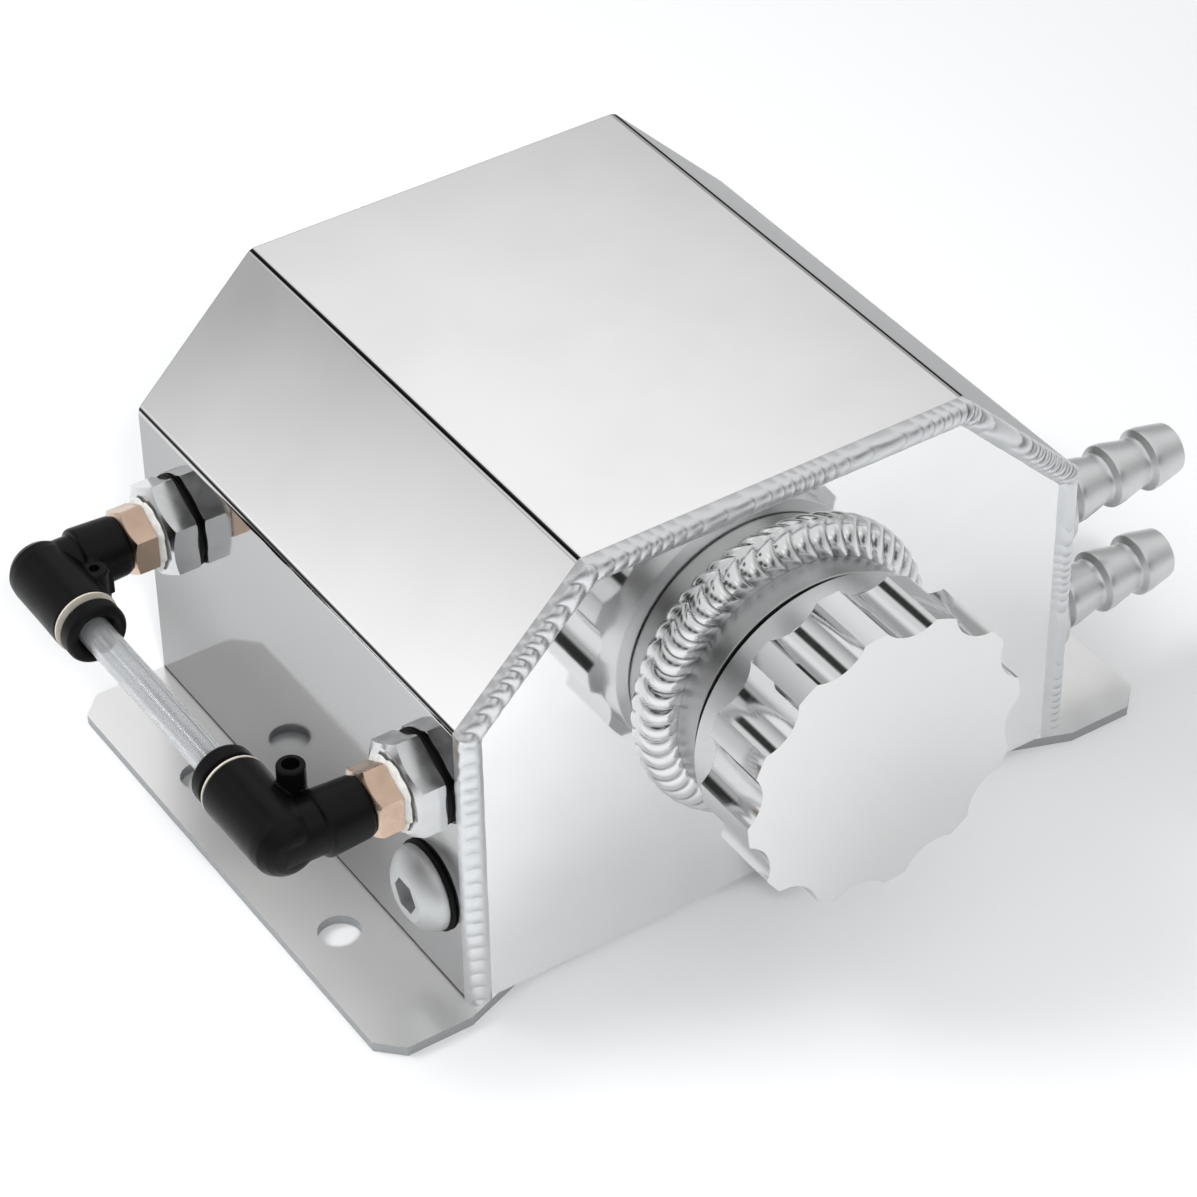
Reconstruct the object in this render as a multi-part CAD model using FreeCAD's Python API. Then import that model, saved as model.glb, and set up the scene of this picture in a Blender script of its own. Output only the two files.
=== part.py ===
import FreeCAD, Part
import math
import os
from FreeCAD import Vector

# Folded tank
BODY_WIDTH = 130.0
BODY_HEIGHT = 87.0
BODY_LENGTH = 110.5
SHOULDER_LEG = 25.5
SHEET = 2.0
FOLD_RADIUS = 2.4
REAR_RECESS = 2.2

# Mounting plate, with an ear on each side
PLATE_WIDTH = 168.0
PLATE_LENGTH = 113.0
PLATE_THICKNESS = 2.0
PLATE_CORNER = 4.5
HOLE_SPACING_X = 149.0
HOLE_SPACING_Y = 50.0
HOLE_RADIUS = 4.0
EAR_CUT_OUTER_X = 66.3
EAR_CUT_INNER_X = 54.0

# Weld beads
BEAD_PITCH = 3.2
BEAD_BAND = 4.3
BEAD_CREST = 1.0
BEAD_VALLEY = 0.72
BEAD_CORNER = 3.2
NECK_BEAD_COUNT = 52
NECK_BEAD_RADIUS = 30.4
NECK_BEAD_HEIGHT = 5.2

# Filler neck, gasket and cap, stations measured out from the front face
NECK_HEIGHT = 47.0
NECK_RADIUS = 24.8
NECK_SHOULDER = 10.0
NECK_BORE_RADIUS = 18.0
NECK_REGISTER_RADIUS = 20.95
NECK_HOLE_RADIUS = 21.0
SPIGOT_RADIUS = 22.0
SPIGOT_END = 20.0
GASKET = 0.7
CAP_RADIUS = 28.5
CAP_SKIRT_RADIUS = 26.2
CAP_SKIRT_END = 17.3
CAP_FACE = 31.0
CAP_BORE_DEPTH = 11.0
CAP_LOBES = 12
CAP_LOBE_ANGLE = 6.0
SCALLOP_RADIUS = 7.5
SCALLOP_DEPTH = 2.5
THREAD_CLEARANCE = 0.1

# Side fittings
FRONT_FITTING_Y = 12.3
REAR_FITTING_Y = 97.3
UPPER_FITTING_Z = 44.4
LOWER_FITTING_Z = 19.4
SIGHT_STAND_OFF = 28.0
ADAPTOR_FLATS = 17.0
STUD_FLATS = 12.0
WASHER = 0.8
ADAPTOR_END = 6.2
STUD_START = 7.6
STUD_END = 12.6
TUBE_RADIUS = 3.0
TUBE_BORE_RADIUS = 2.0
RELEASE_TRAVEL = 1.0
SOCKET_FACE = 16.0
GUIDE_FACE = 16.4
ELBOW_RADIUS = 6.2
NUB_PLACE = (6.6, 7.4)
BARB_RIDGE_RADIUS = 6.1
BARB_VALLEY_RADIUS = 4.8
BARB_BORE_RADIUS = 3.5
BARB_PITCH = 8.8
BARB_STAGES = 3
BOSS_RADIUS = 8.6
BOSS_LENGTH = 4.5

# Places worked out from the sizes above: the row's origin is on the underside of the plate, at the
# centre of the hole pattern
PLATE_TOP = PLATE_THICKNESS
REAR_Y = PLATE_LENGTH / 2
FRONT_Y = REAR_Y - BODY_LENGTH
SIDE_X = BODY_WIDTH / 2
TOP_Z = PLATE_TOP + BODY_HEIGHT
FITTING_Y = {"front": FRONT_Y + FRONT_FITTING_Y, "rear": FRONT_Y + REAR_FITTING_Y}
UPPER_Z = PLATE_TOP + UPPER_FITTING_Z
LOWER_Z = PLATE_TOP + LOWER_FITTING_Z
NECK_Z = PLATE_TOP + NECK_HEIGHT
TUBE_X = -SIDE_X - SIGHT_STAND_OFF

X_AXIS = Vector(1, 0, 0)
Y_AXIS = Vector(0, 1, 0)
Z_AXIS = Vector(0, 0, 1)


def save(name, shape):
    """Write one piece, checked, to its own file."""
    if not shape.isValid() or shape.Volume <= 0:
        raise ValueError(name + " is not a sound solid")
    shape.exportStep(os.path.join("parts", name + ".step"))
    box = shape.BoundBox
    print(f"{name:26s} {len(shape.Solids)} solid(s) {shape.Volume / 1000:8.2f} cm3"
          f" x {box.XMin:7.1f} {box.XMax:7.1f} y {box.YMin:7.1f} {box.YMax:7.1f}"
          f" z {box.ZMin:6.1f} {box.ZMax:6.1f}")


def aimed(shape, origin, direction):
    """Turn a shape made along +Z to a direction, and move it to its origin."""
    turn = FreeCAD.Rotation(Z_AXIS, direction)
    placed = shape.copy()
    placed.Placement = FreeCAD.Placement(origin, turn).multiply(placed.Placement)
    return placed


def turned(profile, origin, direction):
    """Revolve a closed profile of (station, radius) points about an axis."""
    corners = [Vector(radius, 0, station) for station, radius in profile]
    face = Part.Face(Part.makePolygon(corners + corners[:1]))
    return aimed(face.revolve(Vector(0, 0, 0), Z_AXIS, 360), origin, direction)


def ring(inner, outer, start, end, origin, direction):
    """Plain turned ring between two stations on an axis."""
    profile = [(start, inner), (start, outer), (end, outer), (end, inner)]
    return turned(profile, origin, direction)


def rod(radius, start, end, origin, direction):
    """Plain cylinder between two stations on an axis."""
    blank = Part.makeCylinder(radius, end - start, Vector(0, 0, start))
    return aimed(blank, origin, direction)


def hexagon(flats, start, end, origin, direction):
    """Hexagonal bar between two stations, its corners turned off at the outer end."""
    corner = flats / math.sqrt(3)
    points = []
    for k in range(7):
        angle = math.radians(60 * k)
        points.append(Vector(corner * math.cos(angle), corner * math.sin(angle), start))
    bar = Part.Face(Part.makePolygon(points)).extrude(Vector(0, 0, end - start))
    rise = (corner - flats / 2 + 0.2) * math.tan(math.radians(30))
    envelope = turned(
        [(start, 0), (start, corner + 0.5), (end - rise - 0.3, corner + 0.5),
         (end - rise, corner + 0.2), (end, flats / 2 - 0.2), (end, 0)],
        Vector(0, 0, 0), Z_AXIS)
    return aimed(bar.common(envelope), origin, direction)


def body_outline(inset, foot):
    """Points of the folded section: left foot, left shoulder, top, right shoulder, right foot."""
    tilt = math.tan(math.radians(22.5)) * inset
    side = SIDE_X - inset
    flat = SIDE_X - SHOULDER_LEG - tilt
    shoulder = TOP_Z - SHOULDER_LEG - tilt
    top = TOP_Z - inset
    return [(-side, foot), (-side, shoulder), (-flat, top), (flat, top), (side, shoulder), (side, foot)]


def section_face(inset, foot, y):
    """Filled section of the tank, inset from its outside, with its fold lines rounded."""
    points = [Vector(x, y, z) for x, z in body_outline(inset, foot)]
    edges = []
    radius = FOLD_RADIUS - inset
    reach = radius * math.tan(math.radians(22.5))
    last = points[0]
    for before, corner, after in zip(points[:-2], points[1:-1], points[2:]):
        way_in = (corner - before).normalize()
        way_out = (after - corner).normalize()
        start = corner - way_in * reach
        end = corner + way_out * reach
        inward = (way_out - way_in).normalize()
        middle = corner + inward * (radius / math.cos(math.radians(22.5)) - radius)
        edges.append(Part.LineSegment(last, start).toShape())
        edges.append(Part.Arc(start, middle, end).toShape())
        last = end
    edges.append(Part.LineSegment(last, points[-1]).toShape())
    edges.append(Part.LineSegment(points[-1], points[0]).toShape())
    return Part.Face(Part.Wire(edges))


def mounting_plate():
    """Flat plate under the tank, with clipped corners, ears cut back to the end plate and four holes."""
    half = PLATE_WIDTH / 2
    near = -PLATE_LENGTH / 2
    far = PLATE_LENGTH / 2
    notch = FRONT_Y + SHEET
    outline = [
        (-half, near + PLATE_CORNER), (-half + PLATE_CORNER, near), (-EAR_CUT_OUTER_X, near),
        (-EAR_CUT_INNER_X, notch), (EAR_CUT_INNER_X, notch), (EAR_CUT_OUTER_X, near),
        (half - PLATE_CORNER, near), (half, near + PLATE_CORNER), (half, far - PLATE_CORNER),
        (half - PLATE_CORNER, far), (-half + PLATE_CORNER, far), (-half, far - PLATE_CORNER),
    ]
    corners = [Vector(x, y, 0) for x, y in outline]
    plate = Part.Face(Part.makePolygon(corners + corners[:1])).extrude(Vector(0, 0, PLATE_THICKNESS))
    for side in (-1, 1):
        for end in (-1, 1):
            centre = Vector(side * HOLE_SPACING_X / 2, end * HOLE_SPACING_Y / 2, 0)
            plate = plate.cut(rod(HOLE_RADIUS, -1, PLATE_THICKNESS + 1, centre, Z_AXIS))
    return plate


def fitting_holes():
    """Drills for the five fittings that pass through the side panels."""
    drills = []
    for place in ("front", "rear"):
        drills.append(rod(7.0, -SHEET - 1, 1, Vector(-SIDE_X, FITTING_Y[place], UPPER_Z), -X_AXIS))
    drills.append(rod(6.0, -SHEET - 1, 1, Vector(-SIDE_X, FITTING_Y["front"], LOWER_Z), -X_AXIS))
    for height in (UPPER_Z, LOWER_Z):
        drills.append(rod(5.5, -SHEET - 1, 1, Vector(SIDE_X, FITTING_Y["front"], height), X_AXIS))
    return drills


def body_wrapper():
    """One sheet folded four times: sides, sloping shoulders and top, open below."""
    front = FRONT_Y + 1.5
    outer = section_face(0, PLATE_TOP, front).extrude(Vector(0, REAR_Y - front, 0))
    inner = section_face(SHEET, PLATE_TOP - 1, front - 1).extrude(Vector(0, BODY_LENGTH + 2, 0))
    sheet = outer.cut(inner)
    for drill in fitting_holes():
        sheet = sheet.cut(drill)
    return sheet


def front_end_plate():
    """Flat plate inside the front of the wrapper, bored for the filler neck."""
    plate = section_face(SHEET, PLATE_TOP, FRONT_Y).extrude(Vector(0, SHEET, 0))
    return plate.cut(rod(NECK_HOLE_RADIUS, -5, 5, Vector(0, FRONT_Y, NECK_Z), -Y_AXIS))


def rear_end_plate():
    """Plain plate set a little way into the rear of the wrapper."""
    start = REAR_Y - REAR_RECESS - SHEET
    return section_face(SHEET, PLATE_TOP, start).extrude(Vector(0, SHEET, 0))


def skinned(rings, closed):
    """Solid through a row of like sections, with triangles between each two."""
    faces = []
    count = len(rings)
    size = len(rings[0])
    for i in range(count if closed else count - 1):
        here = rings[i]
        there = rings[(i + 1) % count]
        for j in range(size):
            k = (j + 1) % size
            for corners in ((here[j], there[j], there[k]), (here[j], there[k], here[k])):
                faces.append(Part.Face(Part.makePolygon(list(corners) + [corners[0]])))
    if not closed:
        for end in (rings[0], rings[-1]):
            faces.append(Part.Face(Part.makePolygon(end + end[:1])))
    skin = Part.makeCompound(faces)
    skin.sewShape()
    solid = Part.Solid(skin.Shells[0])
    if solid.Volume < 0:
        solid.reverse()
    return solid


def ripple_stations(path, closed):
    """Stations along a path of (x, z) corners: place, run, whether at a corner, swell."""
    count = len(path)
    stations = []
    for i in range(count if closed else count - 1):
        start = Vector(path[i][0], 0, path[i][1])
        end = Vector(path[(i + 1) % count][0], 0, path[(i + 1) % count][1])
        run = end - start
        along = (end - start).normalize()
        rippled = run.Length - 2 * BEAD_CORNER
        ripples = max(2, round(rippled / BEAD_PITCH))
        stations.append((start, i, True, BEAD_VALLEY))
        for step in range(2 * ripples + 1):
            swell = BEAD_VALLEY if step % 2 else BEAD_CREST
            reach = BEAD_CORNER + rippled * step / (2 * ripples)
            stations.append((start + along * reach, i, False, swell))
    if not closed:
        stations.append((Vector(path[-1][0], 0, path[-1][1]), count - 2, False, BEAD_VALLEY))
    return stations


def perimeter_bead(path, closed, section, y):
    """Rippled bead along a mitred path. section(swell) gives (inward, outward) points."""
    count = len(path)
    inwards = []
    for i in range(count if closed else count - 1):
        after = path[(i + 1) % count]
        run = Vector(after[0] - path[i][0], 0, after[1] - path[i][1]).normalize()
        inwards.append(Vector(run.z, 0, -run.x))
    rings = []
    for place, i, at_corner, swell in ripple_stations(path, closed):
        inward = inwards[i]
        if at_corner and (closed or i > 0):
            inward = inwards[i] + inwards[i - 1]
            inward = inward * (1 / (1 + inwards[i].dot(inwards[i - 1])))
        rings.append([place + inward * u + Vector(0, y - v, 0) for u, v in section(swell)])
    return skinned(rings, closed)


def front_bead_section(swell):
    """Outside corner weld: it fills the step between sheet edge and end plate, and stands proud."""
    return [
        (0.0, -1.5), (SHEET, -1.5), (SHEET, 0.0), (BEAD_BAND, 0.0), (3.2, 0.85 * swell),
        (1.3, 1.15 * swell), (-0.25 * swell, 0.25 * swell), (-0.45 * swell, -1.0), (-0.02, -2.3),
    ]


def front_weld_bead():
    """Bead up one side, over the shoulders and top, and down the other side of the front."""
    return perimeter_bead(body_outline(0, PLATE_TOP), False, front_bead_section, FRONT_Y)


def front_base_weld():
    """Fillet under the front plate, along the edge of the mounting plate."""
    near = FRONT_Y
    far = FRONT_Y + SHEET
    corners = [Vector(-EAR_CUT_INNER_X, near + 0.3, PLATE_TOP), Vector(-EAR_CUT_INNER_X, far, PLATE_TOP),
               Vector(-EAR_CUT_INNER_X, far, 0.3)]
    face = Part.Face(Part.makePolygon(corners + corners[:1]))
    return face.extrude(Vector(2 * EAR_CUT_INNER_X, 0, 0))


def rear_bead_section(swell):
    """Inside fillet between the recessed plate and the walls round it."""
    return [(0.0, 0.0), (2.6, 0.0), (1.3 * swell, 1.4 * swell), (0.0, 2.0)]


def rear_weld_bead():
    """Bead all round the recess of the rear plate."""
    inner = body_outline(SHEET, PLATE_TOP)
    bead = perimeter_bead(inner, True, rear_bead_section, 0)
    bead = bead.mirror(Vector(0, 0, 0), Y_AXIS)
    bead.translate(Vector(0, REAR_Y - REAR_RECESS, 0))
    return bead


def ring_bead(origin, direction, inner, outer, height, ripples):
    """Rippled round bead of half-round section at the foot of a turned piece."""
    middle = (inner + outer) / 2
    rings = []
    for step in range(2 * ripples):
        swell = BEAD_CREST if step % 2 else BEAD_VALLEY + 0.08
        angle = math.pi * step / ripples
        along = Vector(math.cos(angle), math.sin(angle), 0)
        top = height * swell
        bulge = (outer - middle) * (2 - swell)
        section = [
            (inner, 0), (inner, 0.9 * top), (inner + 0.3 * (middle - inner), top),
            (outer - 1.1 * bulge, top), (outer - 0.5 * bulge + 0.5, 0.78 * top), (outer, 0.4 * top),
            (outer - 0.3, 0),
        ]
        rings.append([along * radius + Vector(0, 0, station) for radius, station in section])
    return aimed(skinned(rings, True), origin, direction)


def neck_origin():
    """Centre of the filler neck on the front face."""
    return Vector(0, FRONT_Y, NECK_Z)


def neck_weld_bead():
    """Heavy ring weld round the foot of the neck."""
    return ring_bead(neck_origin(), -Y_AXIS, NECK_RADIUS + 0.06, NECK_BEAD_RADIUS, NECK_BEAD_HEIGHT,
                     NECK_BEAD_COUNT)


def filler_neck():
    """Turned neck: register through the end plate, collar, threaded spigot and straight bore."""
    profile = [
        (-SHEET, NECK_BORE_RADIUS), (-SHEET, NECK_REGISTER_RADIUS), (0, NECK_REGISTER_RADIUS),
        (0, NECK_RADIUS), (NECK_SHOULDER - 0.6, NECK_RADIUS), (NECK_SHOULDER, NECK_RADIUS - 0.6),
        (NECK_SHOULDER, SPIGOT_RADIUS - 0.8), (NECK_SHOULDER + 1.4, SPIGOT_RADIUS - 0.8),
        (NECK_SHOULDER + 2.2, SPIGOT_RADIUS), (SPIGOT_END - 1.0, SPIGOT_RADIUS),
        (SPIGOT_END, SPIGOT_RADIUS - 1.0), (SPIGOT_END, NECK_BORE_RADIUS + 0.6),
        (SPIGOT_END - 0.6, NECK_BORE_RADIUS),
    ]
    return turned(profile, neck_origin(), -Y_AXIS)


def cap_gasket():
    """Flat rubber ring held under the cap against the neck's shoulder."""
    return ring(SPIGOT_RADIUS + THREAD_CLEARANCE, NECK_RADIUS - 0.2, NECK_SHOULDER,
                NECK_SHOULDER + GASKET, neck_origin(), -Y_AXIS)


def filler_cap():
    """Billet cap: plain skirt, twelve scalloped finger grips, flat face and a blind threaded bore."""
    start = NECK_SHOULDER + GASKET
    bore = SPIGOT_RADIUS + THREAD_CLEARANCE
    profile = [
        (start, bore), (start, CAP_SKIRT_RADIUS - 0.5), (start + 0.5, CAP_SKIRT_RADIUS),
        (CAP_SKIRT_END, CAP_SKIRT_RADIUS), (CAP_SKIRT_END, CAP_RADIUS), (CAP_FACE - 0.7, CAP_RADIUS),
        (CAP_FACE, CAP_RADIUS - 0.7), (CAP_FACE, 0), (start + CAP_BORE_DEPTH, 0),
        (start + CAP_BORE_DEPTH, bore),
    ]
    cap = turned(profile, Vector(0, 0, 0), Z_AXIS)
    reach = CAP_RADIUS - SCALLOP_DEPTH + SCALLOP_RADIUS
    for k in range(CAP_LOBES):
        angle = math.radians(CAP_LOBE_ANGLE + (k + 0.5) * 360 / CAP_LOBES)
        centre = Vector(reach * math.cos(angle), reach * math.sin(angle), 0)
        cap = cap.cut(rod(SCALLOP_RADIUS, CAP_SKIRT_END, CAP_FACE + 1, centre, Z_AXIS))
    turn = FreeCAD.Placement(neck_origin(), FreeCAD.Rotation(X_AXIS, 90))
    cap.Placement = turn.multiply(cap.Placement)
    return cap


def sight_origin(place):
    """Where a sight fitting's axis meets the left side panel."""
    return Vector(-SIDE_X, FITTING_Y[place], UPPER_Z)


def drain_origin():
    """Where the drain plug's axis meets the left side panel."""
    return Vector(-SIDE_X, FITTING_Y["front"], LOWER_Z)


def inner_bung(origin, bore, outer):
    """Threaded ring welded inside the panel, behind its hole."""
    return ring(bore, outer, -SHEET - 7.0, -SHEET, origin, -X_AXIS)


def sight_seal(place):
    """Rubber washer between panel and adaptor."""
    return ring(7.1, 9.0, 0, WASHER, sight_origin(place), -X_AXIS)


def hex_adaptor(place):
    """Aluminium hexagon with a threaded shank into the bung, and a threaded socket for the elbow."""
    origin = sight_origin(place)
    head = hexagon(ADAPTOR_FLATS, WASHER, ADAPTOR_END, origin, -X_AXIS)
    shank = rod(6.9, -SHEET - 5.0, WASHER, origin, -X_AXIS)
    socket = rod(4.9, -2.0, 7.0, origin, -X_AXIS)
    passage = rod(2.5, -SHEET - 6.0, 0, origin, -X_AXIS)
    return head.fuse(shank).cut(socket).cut(passage).removeSplitter()


def thread_seal(place):
    """White thread sealant squeezed into a ring between the two hexagons."""
    return ring(4.9, 5.4, ADAPTOR_END, STUD_START, sight_origin(place), -X_AXIS)


def elbow_stud(place):
    """Brass stud: thread into the adaptor, hexagon, and a plain spigot inside the moulded elbow."""
    origin = sight_origin(place)
    head = hexagon(STUD_FLATS, STUD_START, STUD_END, origin, -X_AXIS)
    thread = rod(4.85, -1.5, STUD_START, origin, -X_AXIS)
    spigot = rod(3.95, STUD_END, 21.0, origin, -X_AXIS)
    passage = rod(2.0, -2.5, 22.0, origin, -X_AXIS)
    return head.fuse([thread, spigot]).cut(passage).removeSplitter()


def elbow_bend():
    """Domed end of the elbow's tube side, carried past the stud's axis."""
    end = -4.8
    barrel = rod(ELBOW_RADIUS, end, 8.0, Vector(0, 0, 0), Y_AXIS)
    rim = [e for e in barrel.Edges if e.isClosed() and abs(e.CenterOfMass.y - end) < 0.01]
    return barrel.makeFillet(3.6, rim)


def elbow_rib():
    """Parting rib of the moulding, round the outside of the bend."""
    left = -6.6
    front = -5.4
    top = 2.2
    rib = Part.makeBox(13.4, 11.6, 2 * top, Vector(left, front, -top))
    corner = [e for e in rib.Edges if abs(e.CenterOfMass.x - left) < 0.01
              and abs(e.CenterOfMass.y - front) < 0.01]
    rib = rib.makeFillet(5.2, corner)
    rims = [e for e in rib.Edges if abs(abs(e.CenterOfMass.z) - top) < 0.01
            and (e.CenterOfMass.y < -0.5 and e.CenterOfMass.x < 6.7 or e.CenterOfMass.x < -5.0)]
    return rib.makeFillet(0.9, rims)


def elbow_blank():
    """Solid form of the moulded elbow. Stud side along +X, tube side along +Y, hollow nub up +Z."""
    nothing = Vector(0, 0, 0)
    sleeve = turned([(6.6, 0), (6.6, 5.7), (7.0, 6.1), (15.0, 5.7), (15.4, 5.35), (15.4, 0)],
                    nothing, X_AXIS)
    branch = turned([(6.0, 0), (6.0, ELBOW_RADIUS), (SOCKET_FACE, 6.3), (SOCKET_FACE, 0)], nothing, Y_AXIS)
    neck = rod(5.2, 0, 7.0, nothing, X_AXIS)
    web = Part.makeBox(6.4, 6.4, 4.4, Vector(3.0, 3.0, -2.2))
    nub = turned([(0, 0), (0, 2.6), (8.1, 2.6), (8.3, 2.4), (8.3, 1.6), (6.4, 1.6), (6.4, 0)],
                 Vector(*NUB_PLACE, 0), Z_AXIS)
    return elbow_bend().fuse([elbow_rib(), sleeve, branch, neck, web, nub])


def elbow_body(place):
    """Black moulded elbow, hollow from the stud's spigot round to the stepped tube socket."""
    nothing = Vector(0, 0, 0)
    stud_bore = rod(4.0, 7.0, 20.0, nothing, X_AXIS)
    waterway = rod(2.2, -1.0, 8.0, nothing, X_AXIS)
    branch_way = turned(
        [(-1.0, 0), (-1.0, 2.2), (5.0, 2.2), (5.0, 3.1), (8.0, 3.1), (8.0, 4.5), (17.0, 4.5), (17.0, 0)],
        nothing, Y_AXIS)
    elbow = elbow_blank().cut(stud_bore).cut(waterway).cut(branch_way).removeSplitter()
    flip = 0 if place == "front" else 180
    elbow.rotate(nothing, X_AXIS, flip)
    elbow.translate(Vector(TUBE_X, FITTING_Y[place], UPPER_Z))
    return elbow


def branch_ring(place, inner, outer, start, end):
    """Ring on the tube's axis, at stations measured along the elbow's tube side."""
    way = Y_AXIS if place == "front" else -Y_AXIS
    return ring(inner, outer, start, end, Vector(TUBE_X, FITTING_Y[place], UPPER_Z), way)


def tube_o_ring(place):
    """Rubber ring that seals on the tube, in the elbow's stepped bore."""
    return branch_ring(place, TUBE_RADIUS, 4.5, 8.0, 9.8)


def grab_ring(place):
    """Dished stainless ring whose teeth hold the tube."""
    way = Y_AXIS if place == "front" else -Y_AXIS
    profile = [(10.6, 4.5), (11.0, 4.5), (10.4, TUBE_RADIUS + 0.02), (10.0, TUBE_RADIUS + 0.02)]
    return turned(profile, Vector(TUBE_X, FITTING_Y[place], UPPER_Z), way)


def guide_ring(place):
    """Pale collar pressed into the mouth of the elbow, round the release collar's sleeve."""
    way = Y_AXIS if place == "front" else -Y_AXIS
    profile = [(12.4, 3.95), (12.4, 4.5), (SOCKET_FACE, 4.5), (SOCKET_FACE, 6.25), (GUIDE_FACE, 6.25),
               (GUIDE_FACE, 3.95)]
    return turned(profile, Vector(TUBE_X, FITTING_Y[place], UPPER_Z), way)


def release_collar(place):
    """Black push collar: a sleeve inside the guide ring, and the flange that a thumb presses."""
    way = Y_AXIS if place == "front" else -Y_AXIS
    inner = TUBE_RADIUS + 0.1
    gap = GUIDE_FACE + RELEASE_TRAVEL + 0.1
    profile = [
        (12.2, inner), (12.2, 3.85), (gap, 3.85), (gap, 5.7), (gap + 0.3, 5.95),
        (gap + 2.6, 5.95), (gap + 3.3, 5.3), (gap + 3.3, inner),
    ]
    return turned(profile, Vector(TUBE_X, FITTING_Y[place], UPPER_Z), way)


def sight_tube():
    """Clear stiff tube between the two elbows, that shows the oil level."""
    stop = 5.0
    length = REAR_FITTING_Y - FRONT_FITTING_Y
    origin = Vector(TUBE_X, FITTING_Y["front"], UPPER_Z)
    return ring(TUBE_BORE_RADIUS, TUBE_RADIUS, stop, length - stop, origin, Y_AXIS)


def drain_seal():
    """Rubber washer under the drain plug's head."""
    return ring(6.1, 8.6, 0, WASHER, drain_origin(), -X_AXIS)


def drain_plug():
    """Domed socket-head plug in the lower bung."""
    head_radius = 8.2
    head_base = WASHER
    rim = WASHER + 1.1
    crown = WASHER + 4.5
    flat = 4.6
    rim_point = Vector(head_radius, 0, rim)
    dome_point = Vector(0.5 * (head_radius + flat) + 0.55, 0, 0.5 * (rim + crown) + 0.65)
    flat_point = Vector(flat, 0, crown)
    edges = [
        Part.LineSegment(Vector(0, 0, head_base), Vector(head_radius, 0, head_base)).toShape(),
        Part.LineSegment(Vector(head_radius, 0, head_base), rim_point).toShape(),
        Part.Arc(rim_point, dome_point, flat_point).toShape(),
        Part.LineSegment(flat_point, Vector(0, 0, crown)).toShape(),
        Part.LineSegment(Vector(0, 0, crown), Vector(0, 0, head_base)).toShape(),
    ]
    head = Part.Face(Part.Wire(edges)).revolve(Vector(0, 0, 0), Z_AXIS, 360)
    shank = turned([(-SHEET - 6.5, 0), (-SHEET - 6.5, 5.0), (-SHEET - 5.6, 5.9), (head_base, 5.9),
                    (head_base, 0)], Vector(0, 0, 0), Z_AXIS)
    key_corner = 6.0 / math.sqrt(3)
    points = []
    for k in range(7):
        angle = math.radians(60 * k)
        points.append(Vector(key_corner * math.cos(angle), key_corner * math.sin(angle), crown - 3.6))
    key = Part.Face(Part.makePolygon(points)).extrude(Vector(0, 0, 5))
    return aimed(head.fuse(shank).cut(key).removeSplitter(), drain_origin(), -X_AXIS)


def hose_tail(height):
    """Turned weld-on tail: register in the panel, round boss, three sawtooth barbs and a bore."""
    profile = [(-SHEET, BARB_BORE_RADIUS), (-SHEET, 5.45), (0, 5.45), (0, BOSS_RADIUS),
               (BOSS_LENGTH - 0.5, BOSS_RADIUS), (BOSS_LENGTH, BOSS_RADIUS - 0.5),
               (BOSS_LENGTH, BARB_VALLEY_RADIUS)]
    for stage in range(BARB_STAGES):
        station = BOSS_LENGTH + 2.6 + stage * BARB_PITCH
        profile += [(station, BARB_VALLEY_RADIUS), (station + 0.7, BARB_RIDGE_RADIUS),
                    (station + 2.4, BARB_RIDGE_RADIUS - 0.1),
                    (station + BARB_PITCH - 1.2, BARB_VALLEY_RADIUS)]
    tip = profile[-1][0] + 0.4
    profile[-1] = (tip - 0.6, BARB_VALLEY_RADIUS + 0.1)
    profile += [(tip, BARB_VALLEY_RADIUS - 0.5), (tip, BARB_BORE_RADIUS)]
    return turned(profile, Vector(SIDE_X, FITTING_Y["front"], height), X_AXIS)


def hose_tail_weld(height):
    """Small ring weld round a tail's boss."""
    origin = Vector(SIDE_X, FITTING_Y["front"], height)
    return ring_bead(origin, X_AXIS, BOSS_RADIUS + 0.06, BOSS_RADIUS + 1.75, 1.5, 20)


os.makedirs("parts", exist_ok=True)
save("mounting_plate", mounting_plate())
save("body_wrapper", body_wrapper())
save("front_end_plate", front_end_plate())
save("rear_end_plate", rear_end_plate())
save("front_weld_bead", front_weld_bead())
save("front_base_weld", front_base_weld())
save("rear_weld_bead", rear_weld_bead())
save("filler_neck", filler_neck())
save("neck_weld_bead", neck_weld_bead())
save("cap_gasket", cap_gasket())
save("filler_cap", filler_cap())
for place in ("front", "rear"):
    save("sight_bung_" + place, inner_bung(sight_origin(place), 7.0, 8.8))
    save("sight_seal_" + place, sight_seal(place))
    save("hex_adaptor_" + place, hex_adaptor(place))
    save("thread_seal_" + place, thread_seal(place))
    save("elbow_stud_" + place, elbow_stud(place))
    save("elbow_body_" + place, elbow_body(place))
    save("tube_o_ring_" + place, tube_o_ring(place))
    save("grab_ring_" + place, grab_ring(place))
    save("guide_ring_" + place, guide_ring(place))
    save("release_collar_" + place, release_collar(place))
save("sight_tube", sight_tube())
save("drain_bung", inner_bung(drain_origin(), 6.0, 8.6))
save("drain_seal", drain_seal())
save("drain_plug", drain_plug())
for level, height in (("upper", UPPER_Z), ("lower", LOWER_Z)):
    save("hose_tail_" + level, hose_tail(height))
    save("hose_tail_weld_" + level, hose_tail_weld(height))
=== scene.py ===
import bpy
import math
from mathutils import Matrix, Vector


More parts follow.
